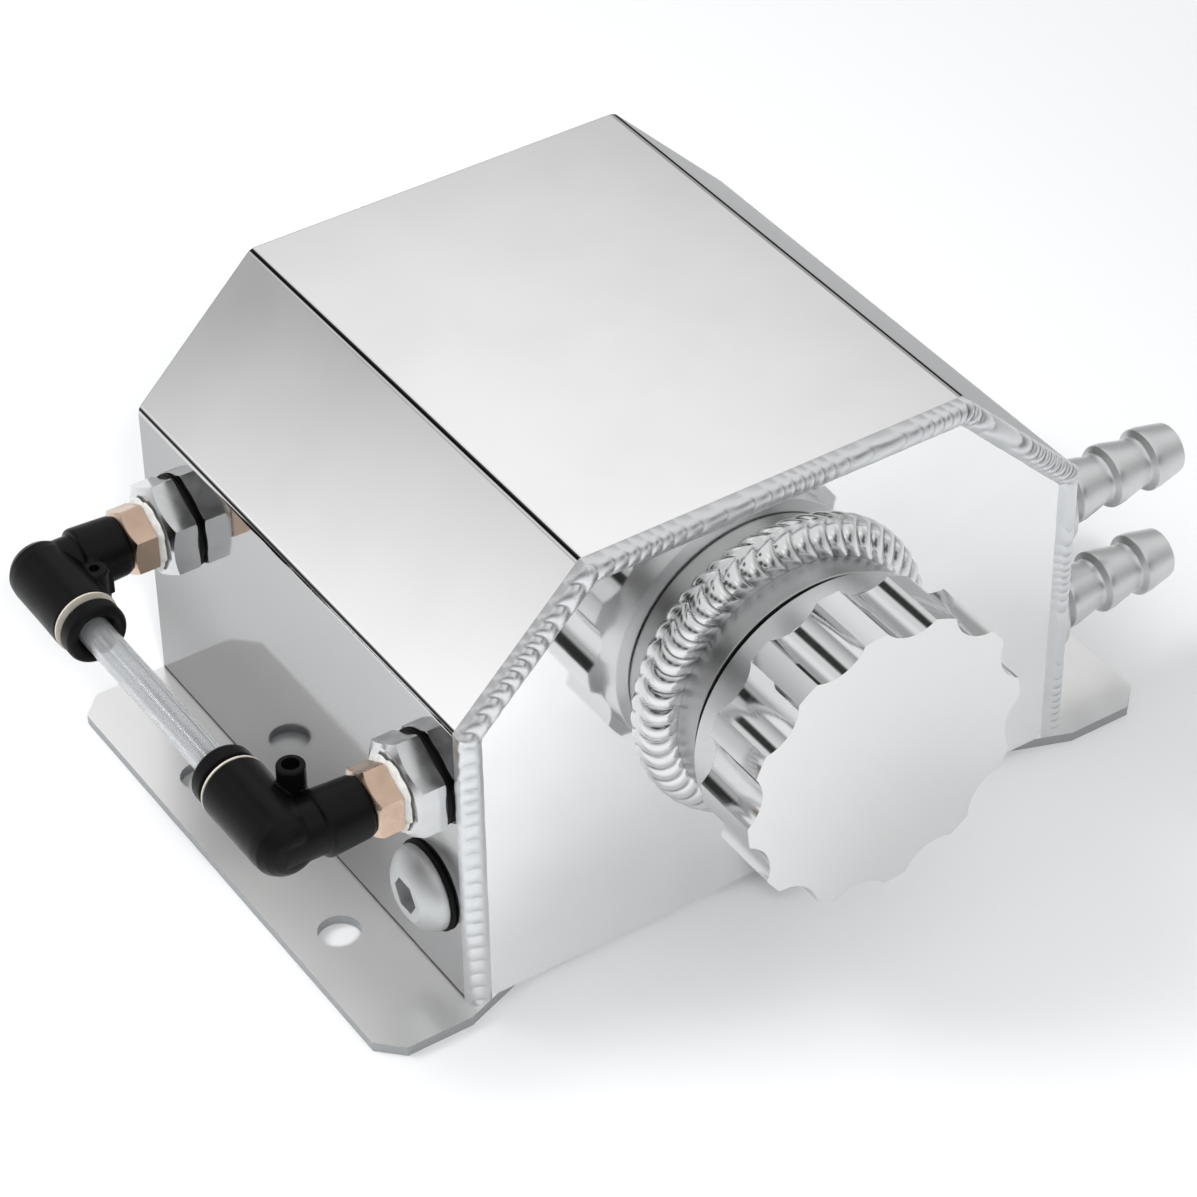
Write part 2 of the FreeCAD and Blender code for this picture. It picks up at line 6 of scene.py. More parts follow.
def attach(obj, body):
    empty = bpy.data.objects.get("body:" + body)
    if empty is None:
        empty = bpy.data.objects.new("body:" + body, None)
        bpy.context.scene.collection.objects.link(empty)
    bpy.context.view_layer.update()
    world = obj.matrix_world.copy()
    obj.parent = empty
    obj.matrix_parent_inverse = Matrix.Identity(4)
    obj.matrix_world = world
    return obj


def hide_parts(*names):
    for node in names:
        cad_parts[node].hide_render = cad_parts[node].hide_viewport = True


# An oil catch can for an engine bay: a folded and welded aluminium tank on a mounting plate, with a screw
# cap, a sight tube between two push-in elbows, a drain plug and two hose tails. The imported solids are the
# frame, and most visible pieces are modelled again here with their fine edges, threads and weld ripples.
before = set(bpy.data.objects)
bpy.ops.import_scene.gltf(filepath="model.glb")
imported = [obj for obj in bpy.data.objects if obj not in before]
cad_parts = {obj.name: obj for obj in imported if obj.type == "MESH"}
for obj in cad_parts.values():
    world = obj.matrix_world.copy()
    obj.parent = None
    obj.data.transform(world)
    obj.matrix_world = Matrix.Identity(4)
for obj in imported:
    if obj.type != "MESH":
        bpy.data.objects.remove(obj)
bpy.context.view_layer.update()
MM = 0.001


# Mounting plate: 2 mm aluminium sheet, buffed on its faces and laser cut round its edge and holes. The tank
# is welded on top of it, and its two ears are screwed down.
PLATE_THICKNESS = 2.0
PLATE_SIZE = (168.0, 113.0)
PLATE_CORNER = 4.5
PLATE_HOLES = (74.5, 25.0)
PLATE_HOLE_RADIUS = 4.0
FRONT_Y = -54.0
EAR_CUT_OUTER_X = 66.3
EAR_CUT_INNER_X = 54.0
EAR_CUT_Y = FRONT_Y + 2.0
PLATE_EDGE = 0.22
CUT_PAST = 1.0


def linear(code):
    """Linear colour of an sRGB hex value."""
    parts = [int(code[i:i + 2], 16) / 255 for i in (1, 3, 5)]
    return tuple(c / 12.92 if c < 0.04045 else ((c + 0.055) / 1.055) ** 2.4 for c in parts) + (1.0,)


def add(tree, kind, sockets, out=0, **settings):
    """Add a shader node with its settings, and values or links for its sockets, and give one output."""
    node = tree.nodes.new("ShaderNode" + kind)
    for key, value in settings.items():
        setattr(node, key, value)
    for key, value in sockets.items():
        if isinstance(value, bpy.types.NodeSocket):
            tree.links.new(value, node.inputs[key])
        else:
            node.inputs[key].default_value = value
    return node.outputs[out] if node.outputs else None


def new_material(name):
    """Material with an empty node tree, its tree, and the place of each point on the object."""
    material = bpy.data.materials.new(name)
    material.use_nodes = True
    material.node_tree.nodes.clear()
    return material, material.node_tree, add(material.node_tree, "TexCoord", {}, "Object")


def clear():
    """Leave nothing selected, so that an operator acts on the new piece alone."""
    if bpy.context.object and bpy.context.object.mode != "OBJECT":
        bpy.ops.object.mode_set(mode="OBJECT")
    bpy.ops.object.select_all(action="DESELECT")


def pick(piece):
    """Make a piece the only selected and the active one."""
    clear()
    piece.select_set(True)
    bpy.context.view_layer.objects.active = piece


def apply(piece, kind, **settings):
    """Give a piece a modifier with its settings, and apply it."""
    pick(piece)
    modifier = piece.modifiers.new(kind.lower(), kind)
    for key, value in settings.items():
        setattr(modifier, key, value)
    bpy.ops.object.modifier_apply(modifier=modifier.name)


def cut(piece, tool, operation="DIFFERENCE"):
    """Cut a tool out of a piece, and put the tool away."""
    apply(piece, "BOOLEAN", object=tool, operation=operation, solver="EXACT")
    bpy.data.objects.remove(tool)


def seat(piece, name, place, toward=(0, 0, 1)):
    """Aim a piece made along +Z, set it at its place in mm, and name it."""
    pick(piece)
    piece.name = name
    piece.rotation_mode = "QUATERNION"
    piece.rotation_quaternion = Vector((0, 0, 1)).rotation_difference(Vector(toward))
    piece.location = Vector(place) * MM
    bpy.ops.object.transform_apply()
    return piece


def smooth(piece, angle=32):
    """Shade round stretches smooth and keep flats flat."""
    pick(piece)
    bpy.ops.object.shade_smooth_by_angle(angle=math.radians(angle))
    apply(piece, "WEIGHTED_NORMAL", keep_sharp=True)


def edged(piece, width_mm, segments=2, angle=32):
    """Break a piece's sharp edges, as deburring does, and shade it."""
    apply(piece, "BEVEL", width=width_mm * MM, segments=segments, limit_method="ANGLE",
          angle_limit=math.radians(angle), use_clamp_overlap=True)
    smooth(piece, angle)


def dress(piece, material, body="root", stands_for=()):
    """Give a piece its material, the body it rides on and the solids it stands for."""
    piece.data.materials.clear()
    piece.data.materials.append(material)
    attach(piece, body)
    if stands_for:
        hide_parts(*stands_for)


def block(low, high):
    """Cuboid between two corners in mm."""
    clear()
    bpy.ops.mesh.primitive_cube_add(size=1)
    piece = bpy.context.object
    piece.scale = [(b - a) * MM for a, b in zip(low, high)]
    piece.location = [(a + b) / 2 * MM for a, b in zip(low, high)]
    bpy.ops.object.transform_apply()
    return piece


def drill(radius, start, end, place, toward=(0, 0, 1)):
    """Cylinder in mm between two stations of an axis, mostly to cut with."""
    clear()
    bpy.ops.mesh.primitive_cylinder_add(vertices=64, radius=radius * MM, depth=(end - start) * MM,
                                        location=(0, 0, (start + end) / 2 * MM))
    bpy.ops.object.transform_apply()
    return seat(bpy.context.object, "drill", place, toward)


def select_none(piece, kind):
    """Deselect all of a piece's edges or faces."""
    pick(piece)
    bpy.ops.object.mode_set(mode="EDIT")
    bpy.ops.mesh.select_mode(type=kind)
    bpy.ops.mesh.select_all(action="DESELECT")
    bpy.ops.object.mode_set(mode="OBJECT")


def select_edges(piece, wanted):
    """Enter edit mode with only the edges chosen by their two ends, in mm."""
    select_none(piece, "EDGE")
    points = [v.co / MM for v in piece.data.vertices]
    for edge in piece.data.edges:
        edge.select = wanted(*(points[i] for i in edge.vertices))
    bpy.ops.object.mode_set(mode="EDIT")


def buffed_sheet(name, rough_low, rough_high, cut_edge=None, painted_shade=False, metal=1.0, glancing="#FFFFFF"):
    """Aluminium sheet buffed bright: pale grey, with a slight and even haze. Its cut edges are duller. The
    folded sheet is duller at a glance, and carries painted shade: its left side painted a little darker and
    its right side much darker, a thin painted dark reflection along the middle of each fold, and a painted
    shadow line along its foot on the plate."""
    material, tree, place = new_material(name)
    haze = add(tree, "TexNoise", {"Vector": place, "Scale": 1 / (22 * MM), "Detail": 2.0}, "Fac")
    rough = add(tree, "MapRange", {0: haze, 1: 0.3, 2: 0.7, 3: rough_low, 4: rough_high})
    haze = add(tree, "MapRange", {0: haze, 1: 0.3, 2: 0.7, 3: 0.0, 4: 1.0})
    tone = add(tree, "Mix", {0: haze, 6: linear("#EDEDED"), 7: linear("#F3F3F3")}, 2, data_type="RGBA")
    if cut_edge:
        edge = cut_edge(tree)
        rough = add(tree, "Mix", {0: edge, 2: rough, 3: 0.34})
        tone = add(tree, "Mix", {0: edge, 6: tone, 7: linear("#9EA0A2")}, 2, data_type="RGBA")
    if painted_shade:
        normal = add(tree, "NewGeometry", {}, "Normal")
        across = add(tree, "SeparateXYZ", {0: normal}, "X")
        # Painted shade on the sides: the left side a little darker, the right side much darker, by the way
        # each faces.
        for start, end, before, after, dimmer in ((-0.95, -0.85, 1, 0, "#E2E2E2"), (0.3, 0.5, 0, 1, "#ACACAC")):
            share = add(tree, "MapRange", {0: across, 1: start, 2: end, 3: before, 4: after})
            tone = add(tree, "Mix", {0: share, 6: tone, 7: linear(dimmer)}, 2, data_type="RGBA")
        # Painted dark reflection: a thin near-black line along the middle of each fold, set by the way the
        # bend faces.
        sideways = add(tree, "Math", {0: across}, operation="ABSOLUTE")
        for turn, width in ((25.0, 0.10), (64.0, 0.055)):
            off = add(tree, "Math", {0: sideways, 1: math.sin(math.radians(turn))}, operation="SUBTRACT")
            off = add(tree, "Math", {0: off}, operation="ABSOLUTE")
            line = add(tree, "MapRange", {0: off, 1: 0.5 * width, 2: width, 3: 0.97, 4: 0.0})
            tone = add(tree, "Mix", {0: line, 6: tone, 7: linear("#141415")}, 2, data_type="RGBA")
        # Painted shadow: a dark band along the foot, where the sheet stands on the plate.
        height = add(tree, "SeparateXYZ", {0: place}, "Z")
        foot = add(tree, "MapRange", {0: height, 1: (PLATE_THICKNESS + 0.35) * MM,
                                      2: (PLATE_THICKNESS + 0.6) * MM, 3: 0.9, 4: 0.0})
        tone = add(tree, "Mix", {0: foot, 6: tone, 7: linear("#2A2A2B")}, 2, data_type="RGBA")
    skin = {"Base Color": tone, "Metallic": metal, "Roughness": rough, "Specular Tint": linear(glancing)}
    add(tree, "OutputMaterial", {"Surface": add(tree, "BsdfPrincipled", skin)})
    return material


def upright_faces(tree):
    """1 on faces that stand upright, as the plate's cut edge and its holes do."""
    normal = add(tree, "NewGeometry", {}, "Normal")
    rise = add(tree, "SeparateXYZ", {0: normal}, "Z")
    rise = add(tree, "Math", {0: rise}, operation="ABSOLUTE")
    return add(tree, "MapRange", {0: rise, 1: 0.25, 2: 0.6, 3: 1.0, 4: 0.0})


half_x, half_y = PLATE_SIZE[0] / 2, PLATE_SIZE[1] / 2
plate = block((-half_x, -half_y, 0), (half_x, half_y, PLATE_THICKNESS))
select_edges(plate, lambda a, b: abs(a.z - b.z) > 1)
bpy.ops.mesh.bevel(offset=PLATE_CORNER * MM, segments=1)
clear()
notch = block((-EAR_CUT_OUTER_X, -half_y, -CUT_PAST),
              (EAR_CUT_OUTER_X, EAR_CUT_Y, PLATE_THICKNESS + CUT_PAST))
spread = (EAR_CUT_OUTER_X - EAR_CUT_INNER_X) / (EAR_CUT_Y + half_y)
for corner in notch.data.vertices:
    if corner.co.y > (CUT_PAST - half_y) * MM:
        corner.co.x = math.copysign(EAR_CUT_INNER_X * MM, corner.co.x)
    else:
        corner.co.y -= CUT_PAST * MM
        corner.co.x += math.copysign(spread * CUT_PAST * MM, corner.co.x)
cut(plate, notch)
for x in (-PLATE_HOLES[0], PLATE_HOLES[0]):
    for y in (-PLATE_HOLES[1], PLATE_HOLES[1]):
        cut(plate, drill(PLATE_HOLE_RADIUS, -CUT_PAST, PLATE_THICKNESS + CUT_PAST, (x, y, 0)))
plate.name = "plate_sheet"
edged(plate, PLATE_EDGE)
plate_finish = buffed_sheet("buffed_plate", 0.29, 0.32, upright_faces, metal=0.78)
dress(plate, plate_finish, "root", ["mounting_plate"])


# Tank wrapper: one 2 mm sheet of the same buffed aluminium, folded four times on a press brake into sides,
# shoulders and top, then drilled for its fittings. It stands on the plate, open at both ends.
SIDE_X = 65.0
TOP_Z = 89.0
REAR_Y = 56.5
SHOULDER_LEG = 25.5
FOLD_RADIUS = 2.4
SHEET = 2.0
FRONT_FITTING_Y = FRONT_Y + 12.3
REAR_FITTING_Y = FRONT_Y + 97.3
UPPER_Z = 46.4
LOWER_Z = 21.4
BUNG_HOLE = 7.0
DRAIN_HOLE = 6.0
TAIL_HOLE = 5.5
WRAPPER_START = FRONT_Y + 1.5
WRAPPER_EDGE = 0.18


def select_faces(piece, wanted):
    """Enter edit mode with only the faces chosen by their middle, in mm, and their normal."""
    select_none(piece, "FACE")
    for face in piece.data.polygons:
        face.select = wanted(face.center / MM, face.normal)
    bpy.ops.object.mode_set(mode="EDIT")


wrapper = block((-SIDE_X, WRAPPER_START, PLATE_THICKNESS), (SIDE_X, REAR_Y, TOP_Z))
select_edges(wrapper, lambda a, b: min(a.z, b.z) > TOP_Z - 1 and abs(a.y - b.y) > 10)
bpy.ops.mesh.bevel(offset=SHOULDER_LEG * MM, segments=1)
clear()
select_faces(wrapper, lambda middle, normal: abs(normal.y) > 0.9 or normal.z < -0.9)
bpy.ops.mesh.delete(type="FACE")
clear()
select_edges(wrapper, lambda a, b: abs(a.y - b.y) > 10 and min(a.z, b.z) > PLATE_THICKNESS + 1)
bpy.ops.mesh.bevel(offset=FOLD_RADIUS * math.tan(math.radians(22.5)) * MM, segments=10)
clear()
apply(wrapper, "SOLIDIFY", thickness=SHEET * MM, offset=-1, use_even_offset=True, use_quality_normals=True)
for side, y, z, radius in ((-1, FRONT_FITTING_Y, UPPER_Z, BUNG_HOLE),
                           (-1, REAR_FITTING_Y, UPPER_Z, BUNG_HOLE),
                           (-1, FRONT_FITTING_Y, LOWER_Z, DRAIN_HOLE),
                           (1, FRONT_FITTING_Y, UPPER_Z, TAIL_HOLE),
                           (1, FRONT_FITTING_Y, LOWER_Z, TAIL_HOLE)):
    cut(wrapper, drill(radius, -2 * SHEET, SHEET, (side * SIDE_X, y, z), (side, 0, 0)))
wrapper.name = "tank_wrapper"
edged(wrapper, WRAPPER_EDGE)


def end_of_sheet(tree):
    """1 on the sheet's cut end at the rear of the tank."""
    place = add(tree, "TexCoord", {}, "Object")
    along = add(tree, "SeparateXYZ", {0: place}, "Y")
    return add(tree, "MapRange", {0: along, 1: (REAR_Y - 0.22) * MM, 2: (REAR_Y - 0.12) * MM, 3: 0.0, 4: 1.0})


# This finish carries painted shade on the wrapper's sides, folds and foot.
wrapper_finish = buffed_sheet("buffed_and_folded", 0.045, 0.085, end_of_sheet, painted_shade=True,
                              glancing="#7C7C7C")
dress(wrapper, wrapper_finish, "root", ["body_wrapper"])


# End plates: flat buffed sheets inside the ends of the wrapper. The front one is bored for the neck, and
# the rear one is set a little way in. Both are welded all round, so that only their faces show.
def dress_node(node, material):
    """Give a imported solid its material."""
    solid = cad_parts[node]
    solid.data.materials.clear()
    solid.data.materials.append(material)


end_finish = buffed_sheet("buffed_end_plate", 0.035, 0.07)
dress_node("front_end_plate", end_finish)
dress_node("rear_end_plate", end_finish)


# Weld beads of the tank: TIG welds in bright filler, laid as a row of overlapping ripples that lean the
# way the torch went. One runs round the front plate's five free edges, one lies in the recess at the rear.
BEAD_PITCH = 3.1
BEAD_STEPS = 14
BEAD_BAND = 4.3
MITRE_REACH = 3.0
BEAD_LEAN = 1.5
BEAD_MIDDLE = 2.15
BEAD_HALF_WIDTH = 2.35
BEAD_FOOT = -0.75
BEAD_CROWN = 1.75
BEAD_RELIEF = 0.34
SHOULDER_RELIEF = 0.30
REAR_FACE_Y = REAR_Y - 2.2
REAR_BEAD_LEAN = 1.1
REAR_BEAD_WIDTH = 2.5
REAR_BEAD_HEIGHT = 1.95
REAR_BEAD_RELIEF = 0.45


def body_outline(inset):
    """Corners of the folded section in mm: left foot, over the top, right foot."""
    tilt = math.tan(math.radians(22.5)) * inset
    side = SIDE_X - inset
    flat = SIDE_X - SHOULDER_LEG - tilt
    shoulder = TOP_Z - SHOULDER_LEG - tilt
    corners = [(-side, PLATE_THICKNESS), (-side, shoulder), (-flat, TOP_Z - inset),
               (flat, TOP_Z - inset), (side, shoulder), (side, PLATE_THICKNESS)]
    return [Vector((x, 0, z)) for x, z in corners]


def outline_stations(outline, step, closed):
    """Points, inward directions and run lengths along an outline, about a step apart. Near a corner the
    inward direction turns to the mitre."""
    count = len(outline)
    runs = count if closed else count - 1
    ways = [(outline[(i + 1) % count] - outline[i]).normalized() for i in range(runs)]
    inwards = [Vector((way.z, 0, -way.x)) for way in ways]
    stations = []
    travelled = 0.0
    for i in range(runs):
        start, end = outline[i], outline[(i + 1) % count]
        length = (end - start).length
        pieces = max(2, round(length / step))
        before = inwards[i - 1] if closed or i > 0 else inwards[i]
        after = inwards[(i + 1) % runs] if closed or i < runs - 1 else inwards[i]
        for k in range(pieces):
            reach = length * k / pieces
            turn_in = max(0.0, 1 - reach / MITRE_REACH) / 2
            turn_out = max(0.0, 1 - (length - reach) / MITRE_REACH) / 2
            inward = inwards[i] * (1 - turn_in - turn_out) + before * turn_in + after * turn_out
            inward = inward / max(0.5, inward.dot(inwards[i]))
            stations.append((start + ways[i] * reach, inward, travelled + reach))
        travelled += length
    if not closed:
        stations.append((outline[-1], inwards[-1], travelled))
    return stations


def ripple(travelled, across, lean, pitch):
    """Height of overlapping ripples, 0 in a groove to 1 on a crest: across is -1 to 1 over the bead."""
    phase = (travelled - lean * (1 - across * across)) / pitch
    frac = phase - math.floor(phase)
    return (1 - (2 * frac - 1) ** 2) * (1 - 0.16 * frac)


def select_rims():
    """Select only the open edges of the piece that is in edit mode."""
    bpy.ops.mesh.select_all(action="DESELECT")
    bpy.ops.mesh.select_non_manifold(extend=False, use_wire=False, use_boundary=True,
                                     use_multi_face=False, use_non_contiguous=False, use_verts=False)


def face_outwards():
    """Turn all faces of the piece outwards, and leave edit mode."""
    bpy.ops.mesh.select_all(action="SELECT")
    bpy.ops.mesh.normals_make_consistent(inside=False)
    bpy.ops.object.mode_set(mode="OBJECT")


def grid_skin(name, rows, closed):
    """Closed skin from a grid whose every row of points, in mm, is one section."""
    across = len(rows[0])
    clear()
    bpy.ops.mesh.primitive_grid_add(x_subdivisions=len(rows), y_subdivisions=across, size=1)
    piece = bpy.context.object
    columns = len(rows) + 1
    flat = piece.data.vertices
    for vertex in flat:
        i, j = vertex.index % columns, vertex.index // columns
        row = rows[i % len(rows)] if closed else rows[min(i, len(rows) - 1)]
        vertex.co = row[j % across] * MM
    bpy.ops.object.mode_set(mode="EDIT")
    bpy.ops.mesh.select_all(action="SELECT")
    bpy.ops.mesh.remove_doubles(threshold=0.002 * MM)
    bpy.ops.mesh.dissolve_degenerate(threshold=0.002 * MM)
    if not closed:
        select_rims()
        bpy.ops.mesh.fill()
    face_outwards()
    piece.name = name
    return piece


def front_section(place, inward, travelled, y):
    """Section of the corner weld, over the sheet's edge and on to the end plate."""
    wander = 0.12 * math.sin(travelled * 0.41) + 0.08 * math.sin(travelled * 1.13 + 1)
    points = []
    for k in range(15):
        t = k / 14
        pitch = BEAD_PITCH * (1 + 0.02 * math.sin(travelled * 0.2))
        swell = ripple(travelled + 0.2 * wander, 2 * t - 1, BEAD_LEAN, pitch)
        angle = math.radians(180 - 128 * t)
        inset = BEAD_MIDDLE + (BEAD_HALF_WIDTH + 0.1 * wander) * math.cos(angle)
        proud = BEAD_FOOT + BEAD_CROWN * math.sin(angle)
        relief = BEAD_RELIEF + 0.10 * wander + (SHOULDER_RELIEF if abs(inward.x * inward.z) > 0.2 else 0.0)
        rise = relief * (swell - 0.45) * math.sin(math.pi * min(1, t * 1.02)) ** 0.55
        points.append((inset + rise * math.cos(angle) * 0.75, proud + rise * math.sin(angle)))
    points[0] = (-0.02, -2.25)
    points[-1] = (BEAD_BAND + 0.25 * wander, -0.02)
    points += [(2.6, -0.6), (0.6, -1.6)]
    return [place + inward * u + Vector((0, y - v, 0)) for u, v in points]


def weld_metal(name, pale, groove_shade_tone, grain, rough_low, rough_high):
    """TIG bead of aluminium filler: bright grey skin, satin, with fine grain and painted shade in its
    grooves.
    """
    material, tree, place = new_material(name)
    cloud = add(tree, "TexNoise", {"Vector": place, "Scale": 1 / (5 * MM), "Detail": 4.0}, "Fac")
    speck = add(tree, "TexNoise", {"Vector": place, "Scale": 1 / (grain * MM), "Detail": 3.0}, "Fac")
    edge = add(tree, "NewGeometry", {}, "Pointiness")
    # Painted shade: concave spots, found by their pointiness, are darkened towards the groove's shade tone.
    groove = add(tree, "MapRange", {0: edge, 1: 0.45, 2: 0.505, 3: 1.0, 4: 0.0})
    tone = add(tree, "Mix", {0: cloud, 6: linear(pale), 7: linear("#DADCDE")}, 2, data_type="RGBA")
    tone = add(tree, "Mix", {0: groove, 6: tone, 7: linear(groove_shade_tone)}, 2, data_type="RGBA")
    rough = add(tree, "MapRange", {0: cloud, 1: 0.3, 2: 0.7, 3: rough_low, 4: rough_high})
    relief = add(tree, "Bump", {"Height": speck, "Distance": 0.012 * MM, "Strength": 1.0})
    skin = {"Base Color": tone, "Metallic": 1.0, "Roughness": rough, "Normal": relief}
    add(tree, "OutputMaterial", {"Surface": add(tree, "BsdfPrincipled", skin)})
    return material


# The second colour is the painted shade in the beads' grooves.
bead_finish = weld_metal("tig_bead", "#DDDEDF", "#828486", grain=0.6, rough_low=0.29, rough_high=0.38)
rows = [front_section(place, inward, travelled, FRONT_Y)
        for place, inward, travelled in outline_stations(body_outline(0), BEAD_PITCH / BEAD_STEPS, False)]
front_bead = grid_skin("front_bead", rows, closed=False)
smooth(front_bead, 60)
dress(front_bead, bead_finish, "root", ["front_weld_bead"])


def rear_section(place, inward, travelled, y):
    """Section of the inside fillet between the rear plate and the walls round it."""
    points = []
    for k in range(9):
        t = k / 8
        swell = ripple(travelled, 2 * t - 1, REAR_BEAD_LEAN, BEAD_PITCH)
        reach = REAR_BEAD_WIDTH * (1 - t)
        height = REAR_BEAD_HEIGHT * t
        rise = REAR_BEAD_RELIEF * (0.35 + swell) * math.sin(math.pi * t)
        points.append((reach + 0.6 * rise, height + 0.75 * rise * (1 - t)))
    points.append((0.0, 0.0))
    return [place + inward * u + Vector((0, y + v, 0)) for u, v in points]


rows = [rear_section(place, inward, travelled, REAR_FACE_Y)
        for place, inward, travelled in outline_stations(body_outline(SHEET), BEAD_PITCH / 9, True)]
rear_bead = grid_skin("rear_bead", rows, closed=True)
smooth(rear_bead, 60)
dress(rear_bead, bead_finish, "root", ["rear_weld_bead"])
dress_node("front_base_weld", bead_finish)


# Filler neck: turned aluminium, with a wide shoulder for the gasket and a coarse thread above it. It is
# registered in the front plate and held by one heavy ring of weld, the most worked seam on the tank.
NECK_Z = 49.0
NECK_RADIUS = 24.8
NECK_SHOULDER = 10.0
NECK_BORE_RADIUS = 18.0
NECK_REGISTER_RADIUS = 20.95
SPIGOT_RADIUS = 22.0
SPIGOT_ROOT_RADIUS = 20.9
SPIGOT_END = 20.0
THREAD_PITCH = 2.0
NECK_PLACE = (0, FRONT_Y, NECK_Z)
FRONTWARD = (0, -1, 0)
RING_RIPPLES = 50
RING_OUTER = 30.1
RING_HEIGHT = 4.7
RING_LEAN = 0.5
RING_RELIEF = 0.60
WELD_GAP = 0.03
NECK_EDGE = 0.45


def extrude_along(profile, solid=True):
    """Extrude what is selected along +Z, through a profile of (station, radius) points in mm."""
    for (was, wide), (now, narrow) in zip(profile, profile[1:]):
        step = {"value": (0, 0, (now - was) * MM)}
        if solid:
            bpy.ops.mesh.extrude_region_move(TRANSFORM_OT_translate=step)
        else:
            bpy.ops.mesh.extrude_edges_move(TRANSFORM_OT_translate=step)
        bpy.ops.transform.resize(value=(narrow / wide, narrow / wide, 1), center_override=(0, 0, now * MM))


def turned(name, profile, place, toward, steps=96, solid=False):
    """Turn a profile of (station, radius) points in mm, into a ring that closes on itself or a solid."""
    station, radius = profile[0]
    clear()
    bpy.ops.mesh.primitive_circle_add(vertices=steps, radius=radius * MM, location=(0, 0, station * MM),
                                      fill_type="NGON" if solid else "NOTHING")
    piece = bpy.context.object
    bpy.ops.object.transform_apply()
    bpy.ops.object.mode_set(mode="EDIT")
    bpy.ops.mesh.select_all(action="SELECT")
    extrude_along(profile, solid)
    if not solid:
        select_rims()
        bpy.ops.mesh.bridge_edge_loops()
    face_outwards()
    return seat(piece, name, place, toward)


def thread(name, root, crest, start, end, pitch, place, toward, steps=64):
    """Helical ridge of a thread: one tooth, drawn round and along the axis by a screw."""
    clear()
    bpy.ops.mesh.primitive_circle_add(vertices=4, radius=0.5 * pitch * MM)
    tooth = bpy.context.object
    half = 0.5 * pitch * MM
    corners = [(root - 0.3, -0.46), (root - 0.3, 0.46), (crest, 0.10), (crest, -0.10)]
    for vertex, (radius, station) in zip(tooth.data.vertices, corners):
        vertex.co = (radius * MM, 0, station * 2 * half)
    turns = (end - start) / pitch
    apply(tooth, "SCREW", axis="Z", screw_offset=(end - start) * MM, angle=turns * 2 * math.pi, iterations=1,
          steps=int(steps * turns), render_steps=int(steps * turns), use_merge_vertices=False)
    pick(tooth)
    bpy.ops.object.mode_set(mode="EDIT")
    select_rims()
    bpy.ops.mesh.fill()
    bpy.ops.mesh.select_all(action="SELECT")
    bpy.ops.transform.translate(value=(0, 0, start * MM))
    face_outwards()
    smooth(tooth, 40)
    return seat(tooth, name, place, toward)


def lathe_metal(name, pale, rough_low, rough_high, place_mm, axis, rings, deep, dull_to=None):
    """Aluminium turned in a lathe: bright, with fine rings round the axis, so wide and so deep in mm, that
    draw the gloss out. Where a station is given, the skirt up to there is duller, and all sides are painted
    a little darker than the face, as painted shade."""
    material, tree, place = new_material(name)
    centred = add(tree, "VectorMath", {0: place, 1: [c * MM for c in place_mm]}, operation="SUBTRACT")
    flat = add(tree, "VectorMath", {0: centred, 1: [1 - abs(a) for a in axis]}, operation="MULTIPLY")
    radius = add(tree, "VectorMath", {0: flat}, "Value", operation="LENGTH")
    station = add(tree, "VectorMath", {0: centred, 1: axis}, "Value", operation="DOT_PRODUCT")
    spot = add(tree, "CombineXYZ", {0: radius, 1: station})
    lines = add(tree, "TexNoise", {"Vector": spot, "Scale": 1 / (rings * MM), "Detail": 3.0}, "Fac")
    cloud = add(tree, "TexNoise", {"Vector": place, "Scale": 1 / (6 * MM), "Detail": 3.0}, "Fac")
    tone = add(tree, "Mix", {0: cloud, 6: linear(pale), 7: linear("#DCDCDC")}, 2, data_type="RGBA")
    tone = add(tree, "Mix", {0: 0.35, 6: linear(pale), 7: tone}, 2, data_type="RGBA")
    rough = add(tree, "MapRange", {0: lines, 1: 0.3, 2: 0.7, 3: rough_low, 4: rough_high})
    if dull_to is not None:
        dimmer = add(tree, "MapRange", {0: station, 1: (dull_to - 0.1) * MM, 2: (dull_to + 0.1) * MM,
                                      3: 1.0, 4: 0.0})
        rough = add(tree, "Mix", {0: dimmer, 2: rough, 3: 0.30})
        # Painted shade: faces that do not look along the axis are darkened towards a lower grey.
        normal = add(tree, "NewGeometry", {}, "Normal")
        facing = add(tree, "VectorMath", {0: normal, 1: axis}, "Value", operation="DOT_PRODUCT")
        side = add(tree, "MapRange", {0: facing, 1: 0.3, 2: 0.8, 3: 1.0, 4: 0.0})
        tone = add(tree, "Mix", {0: side, 6: tone, 7: linear("#D6D7D8")}, 2, data_type="RGBA")
    relief = add(tree, "Bump", {"Height": lines, "Distance": deep * MM, "Strength": 1.0})
    skin = {"Base Color": tone, "Metallic": 1.0, "Roughness": rough, "Normal": relief}
    add(tree, "OutputMaterial", {"Surface": add(tree, "BsdfPrincipled", skin)})
    return material


neck = turned("neck_turning", [
    (-SHEET, NECK_BORE_RADIUS), (-SHEET, NECK_REGISTER_RADIUS), (0, NECK_REGISTER_RADIUS), (0, NECK_RADIUS),
    (NECK_SHOULDER, NECK_RADIUS), (NECK_SHOULDER, SPIGOT_ROOT_RADIUS), (SPIGOT_END, SPIGOT_ROOT_RADIUS),
    (SPIGOT_END, NECK_BORE_RADIUS)], NECK_PLACE, FRONTWARD, 128)
edged(neck, NECK_EDGE)
# The neck's dark grey is painted shade for its short stretch seen between the weld ring and the cap.
neck_finish = lathe_metal("turned_neck", "#A4A5A6", 0.29, 0.34, NECK_PLACE, FRONTWARD, rings=0.9, deep=0.0002)
dress(neck, neck_finish, "root", ["filler_neck"])
neck_thread = thread("neck_thread", SPIGOT_ROOT_RADIUS, SPIGOT_RADIUS - 0.1, NECK_SHOULDER + 3.2,
                     SPIGOT_END - 1.2, THREAD_PITCH, NECK_PLACE, FRONTWARD, 96)
dress(neck_thread, neck_finish, "root")


